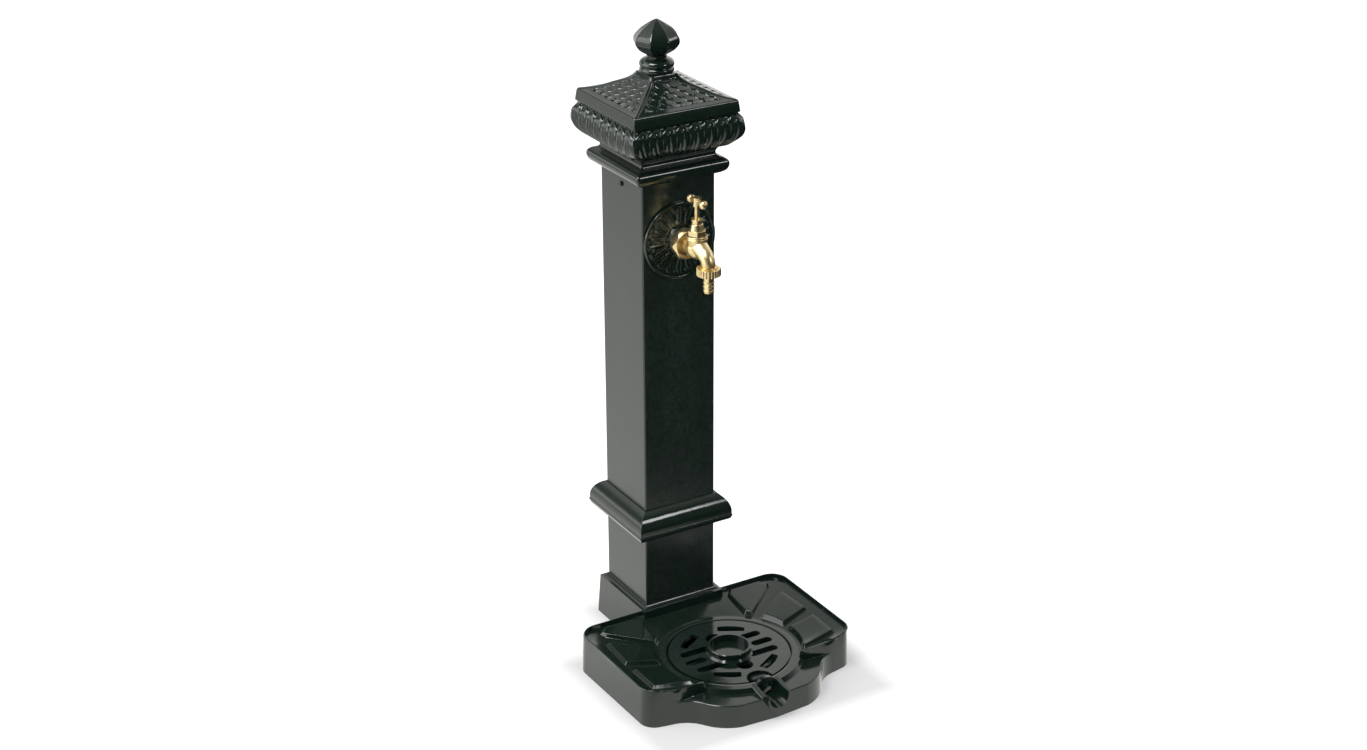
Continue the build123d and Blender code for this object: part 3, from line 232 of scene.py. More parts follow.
def dust_mask(tree, place, shape, amount):
    """Mask of the dust that has settled on the shape."""
    group = use_group(tree, dust_group, Place=place, Normal=shape.outputs["Normal"], Amount=amount)
    return group.outputs["Mask"]


def wear_mask(tree, place, shape, start, end):
    """Mask of rubbed edges, from the pointedness where wear starts to where it is full."""
    pointed = shape.outputs["Pointiness"]
    group = use_group(tree, wear_group, Place=place, Pointedness=pointed, Start=start, End=end)
    return group.outputs["Mask"]


def finish_shader(tree, shader, colour, rough, height, depth):
    """Links colour, roughness and a bump of the given depth in metres to the shader."""
    node = tree.nodes.new("ShaderNodeBump")
    node.inputs["Distance"].default_value = depth
    tree.links.new(height, node.inputs["Height"])
    tree.links.new(node.outputs["Normal"], shader.inputs["Normal"])
    tree.links.new(colour, shader.inputs["Base Color"])
    tree.links.new(rough, shader.inputs["Roughness"])


def enamel(name, rough, peel_depth, dust, waves=30.0):
    """Thick dark green gloss paint on cast iron."""
    material, tree, shader, place, shape = new_material(name)
    coat = use_group(tree, skin_group, Place=place, Colour=GREEN, Pooled=GREEN_POOLED, Roughness=rough,
                     Waves=waves)
    dusty = dust_mask(tree, place, shape, dust)
    tint = blend_colour(tree, dusty, coat.outputs["Colour"], GREEN_DUST)
    rubbed = maths(tree, "MULTIPLY", wear_mask(tree, place, shape, 0.56, 0.75), 0.35)
    colour = blend_colour(tree, rubbed, tint, GREEN_RUBBED)
    dull = maths(tree, "ADD", coat.outputs["Roughness"], maths(tree, "MULTIPLY", dusty, 0.8))
    finish_shader(tree, shader, colour, dull, coat.outputs["Height"], peel_depth)
    shader.inputs["IOR"].default_value = 1.6
    return material


def brass(name, rough, casting):
    """Yellow brass: cast skin with darker hollows, brighter rubbed edges."""
    material, tree, shader, place, shape = new_material(name)
    coat = use_group(tree, skin_group, Place=place, Colour=BRASS, Pooled=BRASS_TARNISH, Roughness=rough,
                     Peel=1400.0, Waves=160.0)
    rubbed = maths(tree, "MULTIPLY", wear_mask(tree, place, shape, 0.52, 0.62), 0.7)
    colour = blend_colour(tree, rubbed, coat.outputs["Colour"], BRASS_RUBBED)
    finish_shader(tree, shader, colour, coat.outputs["Roughness"], coat.outputs["Height"], casting)
    shader.inputs["Metallic"].default_value = 1.0
    return material


def steel(name):
    """Zinc-plated steel with faint spangle and bright edges."""
    material, tree, shader, place, shape = new_material(name)
    coat = use_group(tree, skin_group, Place=place, Colour=STEEL, Pooled=STEEL_SPANGLE, Roughness=0.34,
                     Peel=900.0, Waves=120.0)
    rubbed = wear_mask(tree, place, shape, 0.52, 0.65)
    colour = blend_colour(tree, rubbed, coat.outputs["Colour"], STEEL_RUBBED)
    finish_shader(tree, shader, colour, coat.outputs["Roughness"], coat.outputs["Height"], 0.00005)
    shader.inputs["Metallic"].default_value = 1.0
    return material


def rubber(name):
    """Black moulded rubber with a dry bloom."""
    material, tree, shader, place, shape = new_material(name)
    coat = use_group(tree, skin_group, Place=place, Colour=BLACK, Pooled=BLACK_BLOOM, Roughness=0.65,
                     Peel=700.0, Waves=60.0)
    colour = blend_colour(tree, dust_mask(tree, place, shape, 0.2), coat.outputs["Colour"], BLACK_DUST)
    finish_shader(tree, shader, colour, coat.outputs["Roughness"], coat.outputs["Height"], 0.0001)
    return material


cast_enamel = enamel("enamel_on_casting", 0.10, 0.00030, dust=0.02)
sheet_enamel = enamel("enamel_on_tube", 0.20, 0.00010, dust=0.0, waves=18.0)
tray_enamel = enamel("enamel_on_tray", 0.10, 0.00022, dust=0.01)
cast_brass = brass("cast_brass", 0.34, casting=0.00012)
turned_brass = brass("turned_brass", 0.30, casting=0.00004)
plated_steel = steel("plated_steel")
black_rubber = rubber("black_rubber")


# mesh helpers

def place_in_frame(points):
    """Millimetres from the post's axis to metres in the frame."""
    moved = np.array(points, float)
    moved[..., 1] += POST_Y
    return moved * MM


def smooth_mesh(mesh, sharp):
    """Smooth shading, except across edges sharper than the angle in degrees."""
    mesh.shade_smooth()
    mesh.set_sharp_from_angle(angle=math.radians(sharp))


def finish_mesh(mesh, sharp):
    """Merges doubles, turns the faces outwards and smooths all but sharp edges."""
    work = bmesh.new()
    work.from_mesh(mesh)
    bmesh.ops.remove_doubles(work, verts=work.verts, dist=0.00001)
    bmesh.ops.dissolve_degenerate(work, edges=work.edges, dist=0.000005)
    bmesh.ops.recalc_face_normals(work, faces=work.faces)
    work.to_mesh(mesh)
    work.free()
    smooth_mesh(mesh, sharp)


def quads(rows, columns, round_rows, round_columns):
    """Corner numbers of the quads of a rows x columns grid, closed on itself where asked."""
    down = np.arange(rows if round_rows else rows - 1)
    across = np.arange(columns if round_columns else columns - 1)
    r, c = np.meshgrid(down, across, indexing="ij")
    r2, c2 = (r + 1) % rows, (c + 1) % columns
    corners = [r * columns + c, r * columns + c2, r2 * columns + c2, r2 * columns + c]
    return np.stack(corners, -1).reshape(-1, 4)


def grid_mesh(name, points, round_rows=False, round_columns=True, sharp=35.0):
    """Mesh through a grid of places in millimetres, rows x columns x 3."""
    rows, columns = points.shape[:2]
    mesh = bpy.data.meshes.new(name)
    faces = quads(rows, columns, round_rows, round_columns)
    mesh.from_pydata(place_in_frame(points).reshape(-1, 3), [], faces.tolist())
    finish_mesh(mesh, sharp)
    return mesh


def add_piece(name, mesh, material, *stands_for):
    """A piece of the object: rides on the body of the node it stands for and takes its slot."""
    piece = bpy.data.objects.new(name, mesh)
    bpy.context.scene.collection.objects.link(piece)
    mesh.materials.clear()
    mesh.materials.append(material)
    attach(piece, body_of_node[stands_for[0]])
    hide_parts(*stands_for)
    return piece


def joined(name, meshes, sharp):
    """One mesh from several."""
    work = bmesh.new()
    for mesh in meshes:
        work.from_mesh(mesh)
        bpy.data.meshes.remove(mesh)
    mesh = bpy.data.meshes.new(name)
    work.to_mesh(mesh)
    work.free()
    smooth_mesh(mesh, sharp)
    return mesh


def weigh_normals(piece):
    """Lets the large faces of a piece lead its shading, with sharp edges kept."""
    smooth = piece.modifiers.new("weighted", "WEIGHTED_NORMAL")
    smooth.keep_sharp = True


def soften(node, material, width):
    """A merged copy of a CAD node with its sharp edges rounded, width in millimetres."""
    mesh = nodes[node].data.copy()
    mesh.name = node + "_shape"
    if mesh.has_custom_normals:
        mesh.attributes.remove(mesh.attributes["custom_normal"])
    work = bmesh.new()
    work.from_mesh(mesh)
    bmesh.ops.remove_doubles(work, verts=work.verts, dist=0.000002)
    bmesh.ops.dissolve_limit(work, angle_limit=math.radians(0.5), verts=work.verts, edges=work.edges)
    work.to_mesh(mesh)
    work.free()
    mesh.shade_smooth()
    piece = add_piece(node + "_finished", mesh, material, node)
    edge = piece.modifiers.new("rounded_edges", "BEVEL")
    edge.width = width * MM
    edge.segments = 2
    edge.limit_method = "ANGLE"
    edge.angle_limit = math.radians(28.0)
    edge.use_clamp_overlap = True
    edge.harden_normals = False
    weigh_normals(piece)


def ease(value, start, end):
    """Smooth step from 0 at start to 1 at end."""
    t = np.clip((value - start) / (end - start), 0.0, 1.0)
    return t * t * (3.0 - 2.0 * t)


def square_round(side_steps, corner_steps):
    """Anchor and outward direction round a square, both columns x 2, and the share along a side.

    Each side runs from -1 to 1 in side_steps, and each corner turns 90 degrees in corner_steps.
    """
    anchors, outwards, alongs = [], [], []
    for turn in range(4):
        angle = math.radians(90 * turn)
        spin = np.array([[math.cos(angle), -math.sin(angle)], [math.sin(angle), math.cos(angle)]])
        along = np.linspace(-1, 1, side_steps)
        side = np.stack([along, -np.ones(side_steps)], -1)
        face = np.tile([0.0, -1.0], (side_steps, 1))
        bend = np.radians(np.linspace(-90, 0, corner_steps + 2)[1:-1])
        corner = np.tile([1.0, -1.0], (corner_steps, 1))
        away = np.stack([np.cos(bend), np.sin(bend)], -1)
        anchors += [side @ spin.T, corner @ spin.T]
        outwards += [face @ spin.T, away @ spin.T]
        alongs += [along, np.full(corner_steps, 1.0)]
    return np.concatenate(anchors), np.concatenate(outwards), np.concatenate(alongs)


def square_rings(half, z, corner, anchors, outwards):
    """Rounded squares: (half - corner) * anchor + corner * outward at each height."""
    half, z = np.asarray(half, float), np.asarray(z, float)
    corner = np.minimum(np.broadcast_to(corner, half.shape), half * 0.999)
    flat = (half - corner)[:, None, None] * anchors + corner[:, None, None] * outwards
    return np.concatenate([flat, np.broadcast_to(z[:, None, None], flat.shape[:2] + (1,))], -1)


def smooth_profile(points, steps):
    """Catmull-Rom curve through (half, z) points, steps places to each span."""
    p = np.array(points, float)
    p = np.vstack([2 * p[0] - p[1], p, 2 * p[-1] - p[-2]])
    t = np.linspace(0, 1, steps, endpoint=False)[:, None]
    spans = []
    for a, b, c, d in zip(p[:-3], p[1:-2], p[2:-1], p[3:]):
        bend = (2 * a - 5 * b + 4 * c - d) * t ** 2
        twist = (3 * b - a - 3 * c + d) * t ** 3
        spans.append(0.5 * (2 * b + (c - a) * t + bend + twist))
    return np.vstack(spans + [p[-2][None]])


def arc_profile(start, middle, end, steps):
    """Places on the circle through three (half, z) points."""
    (ax, ay), (bx, by), (cx, cy) = start, middle, end
    aa, bb, cc = ax * ax + ay * ay, bx * bx + by * by, cx * cx + cy * cy
    d = 2 * (ax * (by - cy) + bx * (cy - ay) + cx * (ay - by))
    ux = (aa * (by - cy) + bb * (cy - ay) + cc * (ay - by)) / d
    uy = (aa * (cx - bx) + bb * (ax - cx) + cc * (bx - ax)) / d
    angles = np.unwrap([math.atan2(y - uy, x - ux) for x, y in (start, middle, end)])
    turn = np.interp(np.linspace(0, 1, steps), [0, 0.5, 1], angles)
    r = math.hypot(ax - ux, ay - uy)
    return np.stack([ux + r * np.cos(turn), uy + r * np.sin(turn)], -1)


def outward_tilt(profile):
    """Unit normals (sideways, up) of a (half, z) profile, on its outer side going up."""
    step = np.gradient(profile, axis=0)
    normal = np.stack([step[:, 1], -step[:, 0]], -1)
    return normal / np.maximum(np.linalg.norm(normal, axis=1, keepdims=True), 1e-9)


def raised(rings, profile_normals, outwards, height):
    """Moves each place of the rings along its surface normal by height, in millimetres."""
    side = profile_normals[:, 0][:, None, None] * outwards[None]
    up = np.broadcast_to(profile_normals[:, 1][:, None, None], side.shape[:2] + (1,))
    return rings + np.concatenate([side, up], -1) * height[..., None]


def turned(name, profile, sharp):
    """Closed (radius, z) profile turned about the post's axis."""
    angle = np.linspace(0, 2 * math.pi, 96, endpoint=False)
    x = profile[:, 0][:, None] * np.cos(angle)
    y = profile[:, 0][:, None] * np.sin(angle)
    z = np.broadcast_to(profile[:, 1][:, None], x.shape)
    return grid_mesh(name, np.stack([x, y, z], -1), round_rows=True, sharp=sharp)


# capital

def make_capital():
    """Square moulding: torus, cove, then an ovolo cut with upright leaves.

    A leaf stands proud by (1 - |2x|^2.4)^0.7 of its width share x. It has a groove down its middle,
    veins beside it and two curled lumps under its round tip; between two tips the ground lies back.
    """
    anchors, outwards, along = square_round(193, 10)
    torus = smooth_profile([(60.2, 742.0), (66.5, 744.5), (73.0, 749.0), (76.2, 756.0), (75.2, 762.5),
                            (70.5, 766.8), (66.0, 768.2)], 5)
    cove = smooth_profile([(65.2, 768.6), (62.2, 771.0), (61.6, 775.5), (63.6, 780.0), (66.2, 783.2)], 5)
    ovolo = smooth_profile([(67.5, 783.8), (73.5, 787.0), (80.6, 791.2), (86.6, 796.6), (90.6, 802.0),
                            (92.6, 808.5), (92.9, 815.0), (91.6, 822.5), (88.9, 828.5), (85.4, 832.6)], 6)
    top = np.array([(84.8, 834.0), (84.6, 836.0)])
    outer = np.vstack([torus, cove, ovolo, top])
    inner = np.array([(84.0, 836.0), (60.0, 836.0), (49.7, 827.0), (49.7, 715.0), (56.7, 715.0),
                      (56.7, 741.8), (58.0, 742.0)])
    normals = outward_tilt(outer)
    corner = np.interp(outer[:, 1], [742, 756, 768, 783, 800, 834], [2.0, 4.5, 3.0, 4.0, 6.0, 3.0])
    rings = square_rings(outer[:, 0], outer[:, 1], corner, anchors, outwards)
    z = outer[:, 1][:, None]
    leaves = 8
    x = (along * 0.5 + 0.5)[None] * leaves
    x = x - np.floor(np.minimum(x, leaves - 1e-6)) - 0.5
    grow = ease(z, 784.0, 790.0)
    below_top = ease(834.6 - z, 0.0, 1.4)
    tip = 833.2 - 6.0 * np.abs(2 * x) ** 2.2
    inside = ease(tip - z, -1.4, 1.8)
    belly = (1 - np.abs(2 * x) ** 2.4) ** 0.7
    groove = np.exp(-(x / 0.055) ** 2) * ease(827.0 - z, 0.0, 8.0)
    veins = np.cos(x * 2 * math.pi * 3.0) * 0.75 * ease(817.0 - z, 0.0, 10.0)
    curl = np.exp(-((z - 824.0) / 3.0) ** 2 - ((np.abs(x) - 0.21) / 0.11) ** 2)
    leaf = inside * (2.6 * belly - 1.3 * groove - veins + 1.5 * curl) - 1.1 * (1 - inside)
    height = np.where(z < 783.5, 0.0, grow * leaf * below_top - 0.9 * grow * below_top)
    shown = raised(rings, normals, outwards, height)
    widest = 95.75
    shown[..., :2] = np.clip(shown[..., :2], -widest, widest)
    hidden = square_rings(inner[:, 0], inner[:, 1], 1.0, anchors, outwards)
    mesh = grid_mesh("capital_shape", np.concatenate([shown, hidden]), round_rows=True, sharp=50.0)
    add_piece("capital_leaves", mesh, cast_enamel, "capital")


make_capital()


# roof

def scale_rows(s, q, width, rows, pitch):
    """Height of overlapping round-ended scales at place s across and q up a slope.

    The first row has a scale for about each 20.5 mm of its width, and every higher row one less. A
    scale's lower end is the lower half of an ellipse, and it slopes back from its end to its root.
    A higher row covers the one below it.
    """
    height = np.zeros_like(s)
    first = max(int(round(2 * np.interp(pitch, width[0], width[1]) / 20.5)), 1)
    for k in range(rows):
        end = k * pitch
        broad = np.interp(end + pitch, width[0], width[1])
        local = (s + broad) / (2 * broad / max(first - k, 1))
        local = (local - np.floor(local) - 0.5) * 2
        bow = np.sqrt(np.clip(1 - local ** 2, 0, 1))
        lower = end + pitch * 0.95 * (1 - bow)
        cover = ease(q - lower, -0.3, 0.5)
        body = 2.7 * (1 - np.clip(q - end, 0, 2.2 * pitch) / (2.2 * pitch)) + 0.9 * bow
        height = height * (1 - cover) + body * cover
    return height


def make_roof():
    """Fascia and four hollow slopes; each slope has a flat margin and a sunk panel of round scales."""
    anchors, outwards, along = square_round(221, 6)
    fascia = np.array([(85.9, 836.0), (86.45, 836.6), (86.4, 838.0), (85.4, 846.0), (84.7, 851.4),
                       (84.35, 852.5)])
    eaves = np.array([(83.6, 853.2)])
    slope = smooth_profile([(82.6, 853.5), (76.0, 854.9), (68.0, 856.9), (59.5, 859.9), (51.0, 864.2),
                            (45.0, 867.3), (38.0, 870.6), (32.5, 873.6), (27.2, 877.6), (23.8, 881.0),
                            (21.2, 885.3)], 14)
    cap = np.array([(20.9, 886.0)])
    outer = np.vstack([fascia, eaves, slope, cap])
    normals = outward_tilt(outer)
    run = np.concatenate([[0], np.cumsum(np.linalg.norm(np.diff(slope, axis=0), axis=1))])
    rim, band, sunk = 8.5, 7.5, 3.3
    q = run[:, None] - rim
    half = slope[:, 0][:, None]
    s = along[None] * half
    room = half - band * np.interp(run, [0, run[-1]], [1.1, 0.62])[:, None] - np.abs(s)
    top_room = (run[-1] - 5.0) - run[:, None]
    inside = ease(np.minimum(np.minimum(room, q), top_room), -0.2, 1.8)
    scales = scale_rows(s, np.maximum(q, 0), (run - rim, slope[:, 0] - band), rows=6, pitch=10.4)
    ridge = np.exp(-((half - np.abs(s)) / 2.0) ** 2) * 0.9
    height = np.zeros((len(outer), len(along)))
    height[len(fascia) + len(eaves):-len(cap)] = inside * (scales - sunk) + ridge
    corner = np.interp(outer[:, 1], [836, 853, 886], [2.4, 2.2, 1.4])
    rings = square_rings(outer[:, 0], outer[:, 1], corner, anchors, outwards)
    shown = raised(rings, normals, outwards, height)
    inner = np.array([(12.0, 886.0), (12.0, 877.0), (15.5, 876.0), (27.0, 867.0), (44.0, 859.0),
                      (60.0, 853.2), (79.5, 848.0), (79.5, 836.0)])
    hidden = square_rings(inner[:, 0], inner[:, 1], 1.0, anchors, outwards)
    mesh = grid_mesh("roof_shape", np.concatenate([shown, hidden]), round_rows=True, sharp=60.0)
    add_piece("roof_scales", mesh, cast_enamel, "roof_cap")


make_roof()


# finial

def make_finial():
    """Onion that is nearly round at its foot and eight-sided above, with a fine ridge at each corner.

    A flat side lies at apothem / cos(angle from the side's middle).
    """
    apothem = smooth_profile([(14.2, 908.0), (14.3, 911.2), (16.8, 913.6), (21.6, 917.0), (27.4, 923.0),
                              (30.9, 929.0), (31.0, 934.5), (30.2, 937.6), (26.5, 943.0), (20.6, 949.2),
                              (13.6, 954.7), (6.3, 959.8), (0.6, 962.7)], 7)
    around = 8 * 18
    angle = (np.arange(around) + 0.5) * 2 * math.pi / around
    side = math.pi / 4
    off = (angle % side) - side / 2
    z = apothem[:, 1][:, None]
    share = 0.25 + 0.75 * ease(z, 912.5, 920.0)
    ridge = 0.35 * np.exp(-((side / 2 - np.abs(off)) / 0.05) ** 2) * ease(z, 914.0, 922.0)
    r = apothem[:, 0][:, None] * (1 - share + share / np.cos(off)) + ridge
    points = np.stack([r * np.cos(angle), r * np.sin(angle), np.broadcast_to(z, r.shape)], -1)
    foot, tip = (np.broadcast_to([0.0, 0.0, pole], (1, around, 3)) for pole in (908.0, 962.9))
    mesh = grid_mesh("finial_shape", np.concatenate([foot, points, tip]), sharp=24.0)
    add_piece("finial_onion", mesh, cast_enamel, "finial")


def make_collar():
    """Two rounded rolls with a crease between them, bored for the rod."""
    rolls = smooth_profile([(19.5, 886.1), (23.6, 887.0), (24.9, 889.6), (24.4, 892.6), (23.1, 894.2)], 5)
    upper = smooth_profile([(22.9, 894.7), (24.6, 896.6), (25.0, 899.6), (23.6, 903.0), (20.0, 905.8),
                            (16.0, 907.2), (15.2, 907.9)], 5)
    bore = np.array([(5.4, 907.9), (5.4, 886.1)])
    mesh = turned("collar_shape", np.vstack([rolls, upper, bore]), sharp=50.0)
    add_piece("collar_rolls", mesh, cast_enamel, "finial_collar")


make_finial()
make_collar()


# tray

def outline_of_tray():
    """Plan of the tray's right half at the ground: angles and radii from the well's middle."""
    points = np.vstack([
        np.linspace((0.0, -334.0), (57.0, -330.0), 12),
        arc_profile((57.0, -330.0), (84.0, -317.0), (102.0, -297.0), 26)[1:],
        arc_profile((102.0, -297.0), (115.0, -283.0), (143.0, -272.5), 22)[1:],
        np.linspace((143.0, -272.5), (158.0, -269.5), 6)[1:],
        arc_profile((158.0, -269.5), (173.0, -261.0), (178.5, -245.0), 18)[1:],
        np.linspace((178.5, -245.0), (181.0, -83.0), 60)[1:],
        arc_profile((181.0, -83.0), (172.8, -63.2), (153.0, -55.0), 22)[1:],
        np.linspace((153.0, -55.0), (0.0, -55.0), 60)[1:],
    ])
    points[:, 1] -= WELL_Y
    angle = np.arctan2(points[:, 1], points[:, 0])
    return angle, np.hypot(points[:, 0], points[:, 1])


def rounded_box_radius(angle, half_x, low_y, high_y, corner):
    """Distance from the well's middle to a rounded box along each angle, by bisection."""
    near, far = np.full(angle.shape, 20.0), np.full(angle.shape, 400.0)
    mid_y, half_y = (low_y + high_y) / 2, (high_y - low_y) / 2
    for _ in range(40):
        r = (near + far) / 2
        x = np.abs(r * np.cos(angle)) - (half_x - corner)
        y = np.abs(r * np.sin(angle) - mid_y) - (half_y - corner)
        away = np.hypot(np.maximum(x, 0), np.maximum(y, 0)) + np.minimum(np.maximum(x, y), 0) - corner
        near, far = np.where(away < 0, r, near), np.where(away < 0, far, r)
    return near


def polygon_depth(x, y, corners):
    """Signed depth inside a convex polygon, positive inside."""
    corners = np.array(corners, float)
    area = np.sum(corners[:, 0] * np.roll(corners[:, 1], -1) - np.roll(corners[:, 0], -1) * corners[:, 1])
    if area < 0:
        corners = corners[::-1]
    depth = np.full(np.shape(x), 1e9)
    for (ax, ay), (bx, by) in zip(corners, np.roll(corners, -1, axis=0)):
        length = math.hypot(bx - ax, by - ay)
        depth = np.minimum(depth, ((bx - ax) * (y - ay) - (by - ay) * (x - ax)) / length)
    return depth


PADS = [
    [(40.0, 84.0), (76.0, 127.0), (76.0, 138.0), (138.0, 138.0), (149.5, 127.0), (144.4, 116.5),
     (70.0, 56.3)],
    [(76.0, 50.5), (155.6, 98.6), (159.7, 31.4), (90.0, 14.2)],
    [(90.0, 6.8), (159.0, 11.6), (157.4, -46.9), (93.9, -57.2), (74.0, -47.0)],
]
RING_IN, RING_R, PAD_R, CONE_R = 104.0, 105.0, 109.0, 111.0
SUMP_Z, APRON_Z, RING_Z, DECK_Z, LIP_Z = 20.0, 36.0, 43.0, 54.7, 61.5
PAD_LOW_Z, PAD_HIGH_Z = 49.6, 59.2
LIP_WIDE, POOL_CORNER = 2.8, 25.2
DRAFT = math.tan(math.radians(1.9))
BOX_IN = (181.0 - LIP_Z * DRAFT - LIP_WIDE, -271.5 + LIP_WIDE - WELL_Y,
          -55.0 - LIP_Z * DRAFT - LIP_WIDE - WELL_Y)


def way_out(r, edge):
    """Share of the way from the ring to the lip at radius r."""
    return np.clip((r - RING_R) / np.maximum(edge - RING_R, 1.0), 0, 1)


def make_tray():
    """Cast basin as a closed polar sheet about the well.

    Rows run from the sump's middle up the well, over the ring, the dished deck, the lip, down the
    outside, in under the foot and back below to the middle. Deck height is a straight line from the
    ring to the lip. Where the lip stands flush over the foot the outside is one drafted face.
    """
    angle = np.linspace(-math.pi, math.pi, 640, endpoint=False)
    own_angle, own_radius = outline_of_tray()
    both_angle = np.concatenate([own_angle, math.pi - own_angle[::-1]])
    both_radius = np.concatenate([own_radius, own_radius[::-1]])
    order = np.argsort(both_angle)
    foot = np.interp(angle, both_angle[order], both_radius[order], period=2 * math.pi)
    half_x, low_y, high_y = BOX_IN
    pool = rounded_box_radius(angle, half_x, low_y, high_y, POOL_CORNER)
    lip_out = rounded_box_radius(angle, half_x + LIP_WIDE, low_y - LIP_WIDE, high_y + LIP_WIDE, 28.0)
    pool_row = np.maximum(pool, RING_R + 0.6)
    lip_row = np.maximum(lip_out, pool_row + 1.0)
    edge = np.maximum(foot - APRON_Z * DRAFT, lip_row + 0.9)
    rows = []

    def row(r, z):
        rows.append([np.broadcast_to(np.asarray(value, float), angle.shape) for value in (r, z)])

    for r in (0.0, 30.0, 60.0, 84.0):
        row(r, SUMP_Z)
    for r, z in ((85.6, 20.6), (86.0, 22.0), (86.0, 35.6), (86.5, 36.8), (87.6, 37.0), (91.6, 37.0),
                 (92.7, 37.4), (93.0, 38.4), (93.0, 41.6), (93.4, 42.6), (94.3, 43.0)):
        row(r, z)
    for r in (97.0, 100.0, 103.0):
        row(r, RING_Z)
    for t in np.linspace(0, 1, 26):
        r = RING_IN + (pool_row - 0.6 - RING_IN) * t
        deck = RING_Z + (DECK_Z - RING_Z) * way_out(r, pool)
        row(r, np.where(pool <= RING_R + 1.0, RING_Z, deck))
    in_front = (np.sin(angle) < 0) & (pool * np.sin(angle) < low_y + 0.6)
    sinking = np.interp(np.abs(pool * np.cos(angle)), [84.0, 158.0], [RING_Z, LIP_Z])
    lip_top = np.where(in_front, sinking, LIP_Z)
    lip_top = np.where(pool_row > pool + 0.01, RING_Z, lip_top)
    base = rows[-1][1]
    for lift, share in ((0.3, 0.03), (0.72, 0.09), (0.9, 0.18), (0.975, 0.3), (1.0, 0.44), (1.0, 0.58),
                        (0.98, 0.74), (0.93, 0.87), (0.84, 0.97)):
        r = pool_row + (lip_row - pool_row) * share
        row(r, base + (np.maximum(lip_top, base) - base) * lift)
    wide = ease(edge - lip_row, 1.2, 9.0)
    cone_end = np.maximum(CONE_R, lip_row + 1.0)
    for t in (0.12, 0.3, 0.55, 0.8, 0.97):
        z = lip_top + (APRON_Z - lip_top) * t
        reach = np.where(lip_row < CONE_R, (cone_end - lip_row) * t, 0.3 + (lip_top - z) * DRAFT)
        row(wide * (lip_row + reach) + (1 - wide) * (foot - z * DRAFT), z)
    start = rows[-1][0]
    for t in np.linspace(0.04, 0.97, 16):
        z = APRON_Z - (1 - wide) * 5.0 * t
        row(wide * (start + (edge - 1.5 - start) * t) + (1 - wide) * (foot - z * DRAFT), z)
    top = APRON_Z - (1 - wide) * 5.0
    for back, down in ((0.75, 0.12), (0.22, 0.6), (0.0, 1.5)):
        row(foot - (top - down) * DRAFT - back * wide, top - down)
    for t in np.linspace(0.06, 1.0, 12):
        z = (top - 1.5) * (1 - t)
        row(foot - z * DRAFT, z)
    row(foot - 5.0, 0.0)
    row(foot - 5.4, 14.0)
    below = APRON_Z - 6.0
    inner_edge = np.maximum(foot - 6.4, RING_IN)
    for t in (0.0, 0.25, 0.5, 0.75, 1.0):
        row(inner_edge + (RING_IN - inner_edge) * t, below + (RING_Z - APRON_Z) * t)
    for r, z in ((98.0, 37.0), (98.0, 31.0), (91.0, 31.0), (91.0, 14.0), (60.0, 14.0), (0.0, 14.0)):
        row(r, z)
    r, z = (np.stack(values) for values in zip(*rows))
    points = np.stack([r * np.cos(angle), r * np.sin(angle) + WELL_Y, z], -1)
    return grid_mesh("tray_shape", points, sharp=60.0)


def make_pads():
    """Six raised pads, each a stack of outlines round its own middle.

    An outline joins the places at one depth inside the pad, found by bisection along each ray. The
    height rises from the deck by a straight ramp with small roundings at its foot and its brow.
    """
    slopes = ((-0.9, -0.10), (-0.45, 0.02), (0.0, 0.07), (0.35, 0.14), (3.0, 0.88), (3.35, 0.95),
              (3.75, 0.985), (4.3, 1.0))
    turns = np.linspace(0, 2 * math.pi, 320, endpoint=False)
    parts = []
    for corners in PADS:
        middle_x, middle_y = np.mean(corners, axis=0)
        rings = []
        for depth, rise in slopes:
            near, far = np.zeros(turns.shape), np.full(turns.shape, 90.0)
            for _ in range(34):
                r = (near + far) / 2
                x, y = middle_x + r * np.cos(turns), middle_y + r * np.sin(turns)
                inside = np.minimum(polygon_depth(x, y, corners), np.hypot(x, y) - PAD_R) > depth
                near, far = np.where(inside, r, near), np.where(inside, far, r)
            rings.append((near, rise))
        foot, brow = rings[0][0], rings[-1][0]
        rings = [(foot * 0.0, -0.5), (foot, -0.5)] + rings
        rings += [(brow * share, 1.0) for share in (0.8, 0.6, 0.4, 0.2, 0.0)]
        layers = []
        for r, rise in rings:
            x, y = middle_x + r * np.cos(turns), middle_y + r * np.sin(turns)
            edge = rounded_box_radius(np.arctan2(y, x), *BOX_IN, POOL_CORNER)
            share = way_out(np.hypot(x, y), edge)
            deck = RING_Z + (DECK_Z - RING_Z) * share
            z = deck + rise * (PAD_LOW_Z + (PAD_HIGH_Z - PAD_LOW_Z) * share - deck)
            layers.append(np.stack([x, y + WELL_Y, z], -1))
        for side in (1, -1):
            parts.append(grid_mesh("pad", np.stack(layers) * [side, 1, 1], sharp=70.0))
    add_piece("tray_pads", joined("pads_shape", parts, 70.0), tray_enamel, "tray")


def swept_block(name, start_y, start, end_y, end=None):
    """Closed block along -Y from one (x, z) section to another with as many corners."""
    rings = []
    for y, section in ((start_y, start), (end_y, start if end is None else end)):
        section = np.asarray(section, float)
        rings.append(np.stack([section[:, 0], np.full(len(section), y), section[:, 1]], -1))
    ends = [np.broadcast_to(ring.mean(0), ring.shape) for ring in rings]
    return grid_mesh(name, np.stack([ends[0], rings[0], rings[1], ends[1]]), sharp=35.0)


def oval_section(half_x, half_z, centre_z, start, end, steps):
    """Places on an ellipse in the (x, z) plane between two angles in degrees."""
    turn = np.radians(np.linspace(start, end, steps))
    return np.stack([half_x * np.cos(turn), centre_z + half_z * np.sin(turn)], -1)


